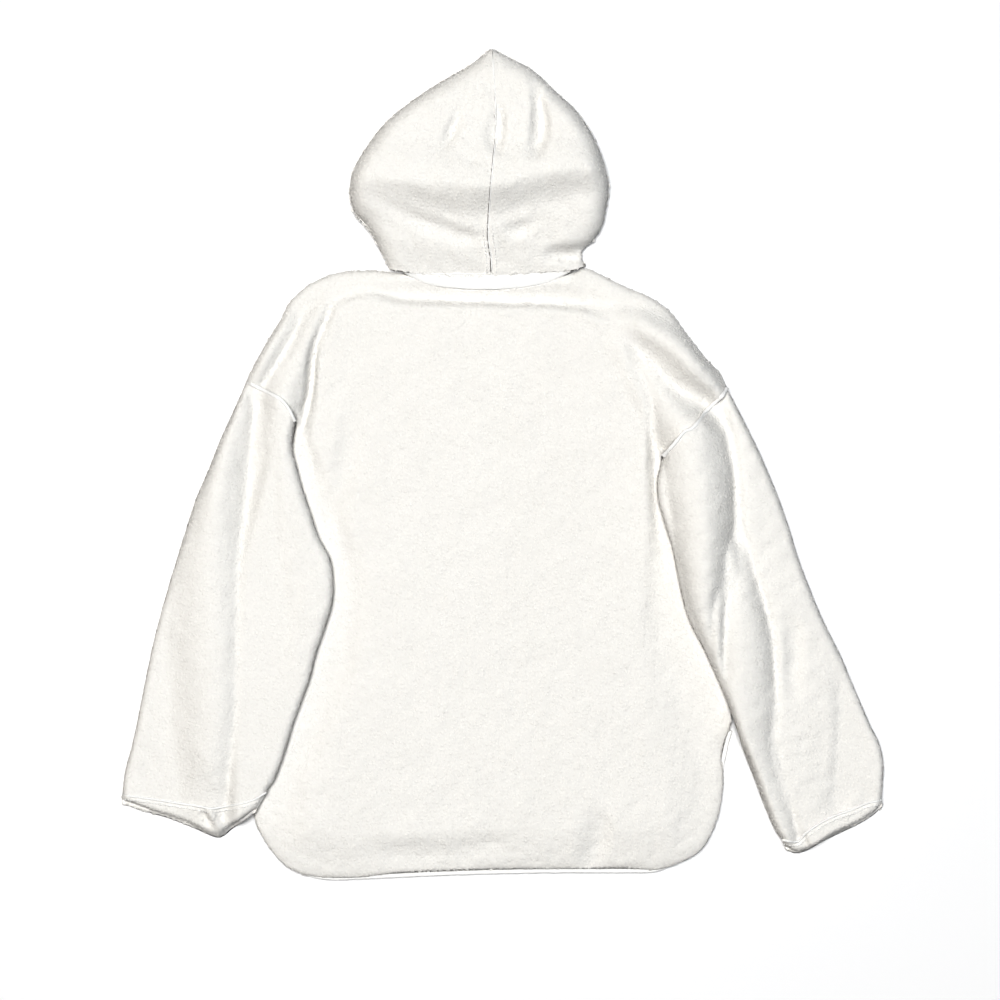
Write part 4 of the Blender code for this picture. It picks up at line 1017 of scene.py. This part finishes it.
def front_panel(settings):
    """The front of the body, face down on the floor, with a coarse grid where it is hidden."""
    down = body_rows()
    shoulders = smooth(SHOULDERS)
    head = np.vstack([shoulders[shoulders[:, 0] < FRONT_NECK_LEFT], smooth(FRONT_NECK),
                      shoulders[shoulders[:, 0] > FRONT_NECK_RIGHT]])
    hidden_left = side_with_vent(SIDE_LEFT, FRONT_VENT_LEFT)
    hidden_right = side_with_vent(SIDE_RIGHT, FRONT_VENT_RIGHT)
    left = split_side(smooth(ARMHOLE_LEFT), hidden_left, down, ARMHOLE_SHARE)
    right = split_side(smooth(ARMHOLE_RIGHT), hidden_right, down, ARMHOLE_SHARE)
    coarse = spread(BODY_WIDTH, cell=2 * CELL)
    fine = len(down) - len(EDGE_STEPS) - 1
    rows = np.concatenate([np.arange(ARMHOLE_CELLS), np.arange(ARMHOLE_CELLS, fine, 2),
                           np.arange(fine, len(down))])
    grid = patch(head, smooth(FRONT_HEM), left[rows], right[rows], coarse, down[rows])
    outer = [head[head[:, 0] < FRONT_NECK_LEFT], head[head[:, 0] > FRONT_NECK_RIGHT],
             hidden_left, hidden_right, smooth(FRONT_HEM)]
    to_edge = nearest_of(grid, outer)
    under = FLOOR_LIFT * (1 - crown(to_edge / FLOOR_ROLL))
    show = 1 - ease((to_edge - 2) / 2)
    front = shell("front_cloth", grid, np.full(under.shape, FLEECE), under,
                  cloth("fleece ground", settings), show)
    dress(front, "fleece", "front_panel")
    pile = grow_pile(front, "front_pile", settings, 31)
    return front


# ---------------------------------------------------------------- sleeves and cuffs
Arm = namedtuple("Arm", "name seam seam_side outer inner line end support support_side folds"
                        " cuff_folds seed")
ARMS = [
    Arm("left", ARMHOLE_LEFT, -1, SLEEVE_LEFT_OUTER, SLEEVE_LEFT_INNER, CUFF_LINE_LEFT,
        CUFF_END_LEFT, SIDE_LEFT, 1, SLEEVE_LEFT_FOLDS, CUFF_LEFT_FOLDS, 3),
    Arm("right", ARMHOLE_RIGHT, 1, SLEEVE_RIGHT_OUTER, SLEEVE_RIGHT_INNER, CUFF_LINE_RIGHT,
        CUFF_END_RIGHT, SIDE_RIGHT, -1, SLEEVE_RIGHT_FOLDS, {}, 6),
]
SLEEVE_WIDTH = 160.0
SLEEVE_LENGTH = 470.0
CUFF_ROWS = (0, 0.05, 0.14, 0.28, 0.42, 0.55, 0.63, 0.69, 0.73, 0.76, 0.86, 0.95, 1.0)
CUFF_STITCHES_IN = 4.5   # the row of stitches on a cuff runs this far from its seam


def sleeve_floor(points, arm, start=STEP_START):
    """Underside of a sleeve: the floor, or the top of the body where it lies on it."""
    distance, side, _ = nearest(points, smooth(arm.support))
    inwards = distance * side * arm.support_side
    return ON_BODY * ease((inwards + start) / (start - STEP_END))


def arm_surfaces(grid, arm, folds):
    """Top and underside of a sleeve or cuff over its grid, with both long edges rolled."""
    floor = sleeve_floor(grid, arm)
    soft = 0.4 * lumps(grid, 30, arm.seed) + 0.3 * lumps(grid, 12, arm.seed + 1)
    draped = sleeve_floor(grid, arm, STEP_START + TOP_STEP)
    full = np.maximum(SLEEVE_FLAT + soft + folds_height(grid, folds), draped + SLEEVE_FLAT - 0.5)
    to_edge = from_sides(grid)
    middle = floor + FLEECE + GAP
    top = middle + (full - middle) * crown(to_edge / SLEEVE_ROLL)
    under = middle - (middle - floor) * crown(to_edge / (SLEEVE_ROLL / 2))
    return top, under


def arm_tube(name, grid, top, under, show, settings):
    """The tube of a sleeve or cuff, with its slit half way up."""
    slit_top = top - FLEECE
    slit_under = np.maximum(slit_top - SLIT, under + FLEECE - 1)
    slit_under = np.minimum(slit_under, slit_top - 0.8)
    return tube(name, grid, top, under, slit_top, slit_under, len(EDGE_STEPS),
                cloth("fleece ground", settings), show)


def sleeve(arm, settings):
    """A flattened sleeve, from its armhole seam to its cuff."""
    seam = offset(at(smooth(arm.seam), np.linspace(0, 1, 20)), SEAM_GAP * arm.seam_side)
    line = offset(smooth(arm.line), -SEAM_GAP / 2 * arm.seam_side)
    down = spread(SLEEVE_LENGTH, near=SEAM_STEPS, far=SEAM_STEPS)
    grid = patch(seam, line, at(smooth(arm.outer), down), at(smooth(arm.inner), down),
                 spread(SLEEVE_WIDTH), down)
    top, under = arm_surfaces(grid, arm, arm.folds)
    to_seam = nearest_of(grid, (grid[0], grid[-1]))
    top -= SEAM_SINK * (1 - crown(to_seam / SEAM_ROLL))
    show = ease((to_seam - BARE_SEAM) / 1.0)
    made = arm_tube("sleeve_cloth_" + arm.name, grid, top, under, show, settings)
    dress(made, "fleece", "sleeve_" + arm.name)
    pile = grow_pile(made, "sleeve_pile_" + arm.name, settings, 40 + arm.seed)
    return made


def cuff(arm, settings):
    """The cuff of a sleeve: its upper layer rolls under a lip of the lower one."""
    line = offset(smooth(arm.line), SEAM_GAP / 2 * arm.seam_side)
    end = smooth(arm.end)
    down = np.array(CUFF_ROWS)
    left = line[0] + (end[0] - line[0]) * down[:, None]
    right = line[-1] + (end[-1] - line[-1]) * down[:, None]
    grid = patch(line, end, left, right, spread(SLEEVE_WIDTH), down)
    top, under = arm_surfaces(grid, arm, {**arm.folds, **arm.cuff_folds})
    floor = sleeve_floor(grid, arm)
    to_seam = nearest(grid, grid[0])[0]
    top -= SEAM_SINK * (1 - crown(to_seam / SEAM_ROLL))
    lip = CUFF_LIP * (0.75 + 0.25 * lumps(grid, 60, arm.seed + 7))
    to_end = nearest(grid, grid[-1])[0]
    upper = crown((to_end - lip) / CUFF_ROLL)
    lower = floor + FLEECE - 0.3 - 1.6 * (1 - crown(to_end / 2.5))
    top = np.where(to_end > lip, lower + 1.5 + (top - lower - 1.5) * upper, lower)
    top = np.maximum(top, under + 2.4)
    show = ease((to_seam - BARE_SEAM) / 1.0)
    made = arm_tube("cuff_cloth_" + arm.name, grid, top, under, show, settings)
    dress(made, "fleece", "cuff_" + arm.name)
    pile = grow_pile(made, "cuff_pile_" + arm.name, settings, 60 + arm.seed)
    return made


# ---------------------------------------------------------------- the hood
HOOD_WIDTH = 140.0
HOOD_HEIGHT = 270.0
HOOD_SEAM_SINK = 0.4
HOOD_ROLL_Y = 306.0      # where the roll across the crown crosses the centre seam
HOOD_SAG_START = 225.0   # from here upwards the slope below that roll follows its curve ...
HOOD_SAG_EASE = 60.0     # ... and does so fully this far up
HOOD_THIN_EDGE = 5.0     # width of the hood's edge where its cloth lies flat on the folded front


def hood_surfaces(grid):
    """Top of the hood's cloth and its underside, over the folded front."""
    heights = np.array(HOOD_PROFILE, float)
    soft = 0.5 * lumps(grid, 30, 21) + 0.3 * lumps(grid, 12, 22)
    roll = np.array(HOOD_FOLDS["roll across the crown"])
    sag = np.interp(grid[..., 0], roll[:, 0], roll[:, 1]) - HOOD_ROLL_Y
    sag *= np.clip((grid[..., 1] - HOOD_SAG_START) / HOOD_SAG_EASE, 0, 1)
    full = np.interp(grid[..., 1] - sag, heights[:, 0], heights[:, 1])
    full += folds_height(grid, HOOD_FOLDS) + soft
    to_edge = nearest_of(grid, (smooth(HOOD_LEFT), smooth(HOOD_RIGHT)))
    rim = HOOD_RIM + RIM
    top = rim + (full - rim) * crown(to_edge / HOOD_ROLL)
    inwards = (to_edge - HOOD_THIN_EDGE) / (HOOD_ROLL - HOOD_THIN_EDGE)
    under = HOOD_RIM + (full - FLEECE - HOOD_RIM) * crown(inwards)
    return top, np.minimum(under, top - RIM)


def hood(settings):
    """Two panels that meet at the centre seam, over the hood's own folded front."""
    seam = smooth(HOOD_CENTRE)
    neck = smooth(NECK_SEAM)
    tip = np.array([HOOD_LEFT[0], HOOD_CENTRE[0], HOOD_RIGHT[0]], float)
    at_seam = np.abs(neck[:, 0] - HOOD_CENTRE[-1][0]).argmin()
    down = spread(HOOD_HEIGHT, far=SEAM_STEPS)
    across = spread(HOOD_WIDTH, far=SEAM_STEPS)
    apart = np.array([GAP / 2, 0])
    halves = (
        ("left", np.array([tip[0], tip[1] - apart]),
         np.vstack([neck[:at_seam], neck[at_seam] - apart]),
         smooth(HOOD_LEFT), offset(seam, -GAP / 2), across, 0.034),
        ("right", np.array([tip[1] + apart, tip[2]]),
         np.vstack([neck[at_seam] + apart, neck[at_seam + 1:]]),
         offset(seam, GAP / 2), smooth(HOOD_RIGHT), 1 - across[::-1], 0.029),
    )
    grids, made = [], []
    for name, head, foot, left, right, share, area in halves:
        grid = patch(head, foot, at(left, down), at(right, down), share, down)
        grids.append(grid)
        top, under = hood_surfaces(grid)
        to_seam = nearest(grid, seam)[0]
        top = np.maximum(top - HOOD_SEAM_SINK * (1 - crown(to_seam / SEAM_ROLL)), under + RIM)
        show = ease((to_seam - BARE_SEAM / 2) / 1.0)
        half = shell("hood_cloth_" + name, grid, top, under, cloth("fleece ground", settings), show)
        dress(half, "fleece", "hood_" + name)
        pile = grow_pile(half, "hood_pile_" + name, settings, 71 + len(made))
        made.append(half)
    grid = np.concatenate([grids[0], grids[1][:, 1:]], axis=1)[::2]
    under = hood_surfaces(grid)[1]
    to_edge = from_sides(grid)
    floor = FLOOR_LIFT * (1 - crown(to_edge / (FLOOR_ROLL + 1)))
    show = 1 - ease((to_edge - 2) / 2)
    fold = shell("hood_lining", grid, under - GAP, floor, cloth("fleece ground", settings), show)
    dress(fold, "hidden_fleece", "hood_fold")
    grow_pile(fold, "hood_lining_pile", settings, 75)
    return made


# ---------------------------------------------------------------- tapes
def strip(name, path, widths, heights, floor, finish, square=2.0, section=9):
    """A low strip along a path, round on top or, with a high `square`, flat."""
    side = offset(path, 1.0) - path
    u = np.linspace(-1, 1, section)
    u = np.sign(u) * np.abs(u) ** 0.8
    grid = path[:, None] + side[:, None] * (u[None, :, None] * widths[:, None, None] / 2)
    rise = np.maximum(1 - np.abs(u)**square, 0) ** (1 / square)
    top = floor[:, None] + heights[:, None] * (0.15 + 0.85 * rise[None])
    under = np.repeat(floor[:, None], section, 1)
    return shell(name, grid, top, under, finish, np.zeros(top.shape), 0)


def steady(values, reach=6):
    """Values along a line, each averaged with its neighbours."""
    padded = np.pad(values, reach, mode="edge")
    return np.convolve(padded, np.ones(2 * reach + 1) / (2 * reach + 1), "valid")


def walk(line, step, least):
    """Even points along a line about a step apart, and not fewer than the least."""
    length = np.hypot(*np.diff(line, axis=0).T).sum()
    return at(line, np.linspace(0, 1, max(least, int(length / step))))


def seam_tape(name, line, width, pieces, settings, rise, seed):
    """A tape that covers a sewn line between pieces and follows their height."""
    path = walk(line, 1.5, 20)
    level = steady(surface_heights(path, pieces, reach=3.0), 3) + rise
    widths = width * (1 + 0.12 * lumps(path, 9, seed))
    made = strip(name, path, widths, np.full(len(path), TAPE_DEPTH), level - TAPE_DEPTH,
                 cloth("jersey tape", settings))
    dress(made, "tape")
    return made


STITCH_PITCH = 0.0032    # from one stitch to the next, in metres
STITCH_LENGTH = 0.42 * STITCH_PITCH
STITCH_THICKNESS = 0.00055


def stitches(name, line, pieces, settings, rise):
    """A row of stitches along a line, on the pieces below it."""
    path = walk(line, 2.0, 12)
    level = steady(surface_heights(path, pieces, reach=0.8), 2) + rise
    mesh = bpy.data.meshes.new(name + "_path")
    points = np.column_stack([path, level]) * MM
    mesh.from_pydata(points, [(n, n + 1) for n in range(len(points) - 1)], [])
    carrier = bpy.data.objects.new(name + "_path", mesh)
    bpy.context.scene.collection.objects.link(carrier)
    made = evaluated(carrier, stitch_tree(), name, {
        "Pitch": STITCH_PITCH, "Length": STITCH_LENGTH, "Thickness": STITCH_THICKNESS,
        "Material": cloth("sewing thread", settings),
    })
    bpy.data.objects.remove(carrier)
    dress(made, "tape")
    return made


def hem_binding(settings):
    """The narrow binding round the front's curved hem, from one side vent to the other."""
    path = offset(at(smooth(BINDING), np.linspace(0, 1, 500)), -BINDING_WIDTH / 2)
    widths = BINDING_WIDTH - 0.2 + 0.25 * lumps(path, 9, 91)
    heights = BINDING_HEIGHT - 0.3 + 0.25 * lumps(path, 14, 92)
    made = strip("binding_hem", path, widths, heights, np.zeros(len(path)),
                 cloth("jersey tape", settings), square=6.0)
    dress(made, "tape", "hem_binding")
    return made


def neck_band(settings):
    """The smooth tape over the seam between the back and the hood."""
    across = np.linspace(0, 1, 90)
    head, foot = at(smooth(BAND_HEAD), across), at(smooth(BAND_FOOT), across)
    tuck = np.minimum(1, 8 * np.minimum(across, 1 - across))[:, None] * (0, BAND_TUCK)
    head, foot = head + tuck, foot - tuck
    u = np.array([0, 0.03, 0.14, 0.32, 0.52, 0.70, 0.84, 0.96, 1.0])
    grid = head + u[:, None, None] * (foot - head)
    fall = np.array([-0.8, 0, 0.3, 0.7, 1.1, 1.5, 1.9, 2.5, 2.8])
    top = HOOD_NECK - 0.3 - fall[:, None] + 0.25 * lumps(grid, 22, 95)
    under = np.full(top.shape, FLEECE + 2 * GAP)
    made = shell("band_neck", grid, top, under, cloth("jersey tape", settings),
                 np.zeros(top.shape), 0)
    dress(made, "tape", "neck_band")
    return made


def sewn_lines(settings):
    """Tapes over the armhole and cuff seams, the hood's centre seam, and rows of stitches."""
    named = bpy.data.objects
    for arm in ARMS:
        sleeve_cloth = named["sleeve_cloth_" + arm.name]
        cuff_cloth = named["cuff_cloth_" + arm.name]
        line = smooth(arm.line)
        seam_tape("armhole_tape_" + arm.name, smooth(arm.seam), ARMHOLE_TAPE,
                  [named["back_cloth"], sleeve_cloth], settings, ARMHOLE_TAPE_RISE, arm.seed)
        seam_tape("cuff_tape_" + arm.name, line, CUFF_TAPE, [sleeve_cloth, cuff_cloth], settings,
                  CUFF_TAPE_RISE, arm.seed + 1)
        inner = offset(line, CUFF_STITCHES_IN * arm.seam_side)
        stitches("cuff_stitches_" + arm.name, at(inner, np.linspace(0.03, 0.97, 60)),
                 [cuff_cloth], settings, 0.7)
    halves = [named["hood_cloth_left"], named["hood_cloth_right"]]
    centre = smooth(HOOD_CENTRE)
    seam_tape("hood_seam", centre, HOOD_TAPE, halves, settings, HOOD_TAPE_RISE, 8)
    lower = at(centre, np.linspace(0.80, 0.985, 40))
    for name, aside in (("left", 5.0), ("right", -5.5)):
        line = offset(lower, aside) + 0.6 * lumps(lower, 18, 9)[:, None]
        stitches("hood_stitches_" + name, line, halves, settings, 0.9)


# ---------------------------------------------------------------- the stage
# A lamp that shines on the middle of the floor: `size` is a disk's width or a sun's angle
Lamp = namedtuple("Lamp", "name kind place setting size colour")
LAMPS = [
    Lamp("softbox", "AREA", (-0.35, 0.6, 6.4), "softbox", 4.0, (1.0, 1.0, 1.0)),
    Lamp("key", "SUN", (-0.5, 0.7, 1.0), "key", 0.6, (1.0, 0.985, 0.96)),
    Lamp("warm side", "SUN", (-1, -0.2, 0.5), "sides", 1.2, (1.0, 0.78, 0.58)),
    Lamp("cool side", "SUN", (1, 0.1, 0.5), "sides", 1.2, (0.5, 0.7, 1.0)),
]
SENSOR = 36.0            # width of the camera's film, in millimetres
FLOOR_RADIUS = 8.0


def light(lamp, power):
    """Hangs one lamp, turned to the middle of the floor."""
    data = bpy.data.lights.new(lamp.name, lamp.kind)
    data.energy = power
    data.color = lamp.colour
    if lamp.kind == "AREA":
        data.shape = "DISK"
        data.size = lamp.size
    else:
        data.angle = lamp.size
    made = bpy.data.objects.new(lamp.name, data)
    made.location = lamp.place
    made.rotation_euler = (-Vector(lamp.place)).to_track_quat("-Z", "Y").to_euler()
    bpy.context.scene.collection.objects.link(made)


def stage(settings):
    """A plain pale floor, a wide soft light nearly overhead and a camera straight above."""
    scene = bpy.context.scene
    work = bmesh.new()
    bmesh.ops.create_circle(work, cap_ends=True, segments=96, radius=FLOOR_RADIUS)
    mesh = bpy.data.meshes.new("floor")
    work.to_mesh(mesh)
    work.free()
    floor = bpy.data.objects.new("floor", mesh)
    scene.collection.objects.link(floor)
    paint = bpy.data.materials.new("pale floor")
    paint.use_nodes = True
    fill(paint.node_tree.nodes["Principled BSDF"], {
        "Base Color": (*settings.floor, 1), "Roughness": 0.9, "Specular IOR Level": 0.1,
    })
    mesh.materials.append(paint)
    world = bpy.data.worlds.new("studio")
    world.use_nodes = True
    fill(world.node_tree.nodes["Background"],
         {"Color": (*settings.sky, 1), "Strength": settings.fill})
    scene.world = world
    for lamp in LAMPS:
        light(lamp, getattr(settings, lamp.setting))
    camera = bpy.data.cameras.new("camera")
    camera.sensor_width = SENSOR
    camera.lens = SENSOR * settings.camera_height / settings.frame_width
    eye = bpy.data.objects.new("camera", camera)
    eye.location = (settings.frame_x, settings.frame_y, settings.camera_height)
    scene.collection.objects.link(eye)
    scene.camera = eye
    scene.view_settings.view_transform = "Standard"
    scene.view_settings.exposure = settings.exposure
    scene.view_settings.gamma = settings.gamma


# ---------------------------------------------------------------- settings, operators, panel
def colour(name, words, default):
    """A colour setting."""
    return FloatVectorProperty(name=name, description=words, subtype="COLOR", default=default,
                               min=0, max=1)


def length(name, words, default):
    """A length setting, in metres."""
    return FloatProperty(name=name, description=words, default=default, unit="LENGTH", min=0,
                         precision=5)


class PulloverCloth(bpy.types.PropertyGroup):
    """Colours and pile of the pullover's cloth."""
    colour: colour("Fleece", "Colour of the fleece", (0.806, 0.797, 0.778))
    # The Deep fleece colour is that of darker random patches and, between the curls, of painted
    # shade.
    shade: colour("Deep fleece", "Colour between the curls and in patches", (0.792, 0.783, 0.763))
    tape: colour("Tape", "Colour of the neck tape, hem binding and thread", (0.90, 0.898, 0.888))
    # The Deep tape colour likewise: darker random patches, and painted shade between the ribs.
    tape_shade: colour("Deep tape", "Colour between the ribs of the tape", (0.87, 0.868, 0.856))
    spacing: length("Curl spacing", "Least distance between two curls of pile", 0.0032)
    curl: length("Curl radius", "Radius of a curl of pile", 0.0014)
    strand: length("Strand radius", "Half the thickness of a curl", 0.0011)


class PulloverStage(bpy.types.PropertyGroup):
    """Floor, light and camera."""
    floor: colour("Floor", "Colour of the floor", (0.85, 0.85, 0.85))
    sky: colour("Fill light", "Colour of the light from all round", (0.90, 0.95, 1.0))
    fill: FloatProperty(name="Fill", description="Strength of the fill light", default=0.03, min=0)
    key: FloatProperty(name="Key", description="Strength of the sun from the upper left",
                       default=0.12, min=0)
    sides: FloatProperty(name="Sides", description="Strength of the two lights from the sides",
                         default=0.14, min=0)
    softbox: FloatProperty(name="Softbox", description="Power of the light overhead",
                           default=490.0, min=0, subtype="POWER", unit="POWER")
    exposure: FloatProperty(name="Exposure", description="Exposure in stops", default=0.06)
    gamma: FloatProperty(name="Gamma", description="Below 1 deepens the shadows", default=0.5)
    camera_height: length("Camera height", "Height of the camera above the floor", 3.2)
    frame_width: length("Frame width", "Width of the floor that the camera sees", 1.1)
    frame_x: FloatProperty(name="Frame X", description="Middle of the frame, across",
                           default=-0.0033, unit="LENGTH")
    frame_y: FloatProperty(name="Frame Y", description="Middle of the frame, up and down",
                           default=-0.038, unit="LENGTH")


class PULLOVER_OT_body(bpy.types.Operator):
    """Build the front and back panels with their pile"""
    bl_idname = "pullover.body"
    bl_label = "Body"

    def execute(self, context):
        front_panel(context.scene.pullover_cloth)
        back_panel(context.scene.pullover_cloth)
        return {"FINISHED"}


class PULLOVER_OT_sleeves(bpy.types.Operator):
    """Build both sleeves and their cuffs"""
    bl_idname = "pullover.sleeves"
    bl_label = "Sleeves and cuffs"

    def execute(self, context):
        for arm in ARMS:
            sleeve(arm, context.scene.pullover_cloth)
            cuff(arm, context.scene.pullover_cloth)
        return {"FINISHED"}


class PULLOVER_OT_hood(bpy.types.Operator):
    """Build the hood over its folded front"""
    bl_idname = "pullover.hood"
    bl_label = "Hood"

    def execute(self, context):
        hood(context.scene.pullover_cloth)
        return {"FINISHED"}


class PULLOVER_OT_tapes(bpy.types.Operator):
    """Build the neck tape and the hem binding"""
    bl_idname = "pullover.tapes"
    bl_label = "Tapes"

    def execute(self, context):
        neck_band(context.scene.pullover_cloth)
        hem_binding(context.scene.pullover_cloth)
        return {"FINISHED"}


class PULLOVER_OT_seams(bpy.types.Operator):
    """Lay tapes and stitches along the sewn lines"""
    bl_idname = "pullover.seams"
    bl_label = "Seams"

    def execute(self, context):
        sewn_lines(context.scene.pullover_cloth)
        return {"FINISHED"}


class PULLOVER_OT_stage(bpy.types.Operator):
    """Set the floor, the lights and the camera"""
    bl_idname = "pullover.stage"
    bl_label = "Stage"

    def execute(self, context):
        stage(context.scene.pullover_stage)
        return {"FINISHED"}


OPERATORS = (PULLOVER_OT_body, PULLOVER_OT_sleeves, PULLOVER_OT_hood, PULLOVER_OT_tapes,
             PULLOVER_OT_seams, PULLOVER_OT_stage)


class PULLOVER_PT_panel(bpy.types.Panel):
    """Lists the pieces of the pullover in the sidebar"""
    bl_idname = "PULLOVER_PT_panel"
    bl_label = "Pullover"
    bl_space_type = "VIEW_3D"
    bl_region_type = "UI"
    bl_category = "Pullover"

    def draw(self, context):
        for operator in OPERATORS:
            self.layout.operator(operator.bl_idname)
        for settings in (context.scene.pullover_cloth, context.scene.pullover_stage):
            box = self.layout.box()
            for name in settings.bl_rna.properties.keys():
                if name not in ("rna_type", "name"):
                    box.prop(settings, name)


CLASSES = (PulloverCloth, PulloverStage, *OPERATORS, PULLOVER_PT_panel)


def register():
    for kind in CLASSES:
        bpy.utils.register_class(kind)
    bpy.types.Scene.pullover_cloth = PointerProperty(type=PulloverCloth)
    bpy.types.Scene.pullover_stage = PointerProperty(type=PulloverStage)


def unregister():
    del bpy.types.Scene.pullover_stage
    del bpy.types.Scene.pullover_cloth
    for kind in reversed(CLASSES):
        bpy.utils.unregister_class(kind)


def main():
    register()
    bpy.ops.pullover.body()
    bpy.ops.pullover.sleeves()
    bpy.ops.pullover.hood()
    bpy.ops.pullover.tapes()
    bpy.ops.pullover.seams()
    bpy.ops.pullover.stage()


if __name__ == "__main__":
    main()
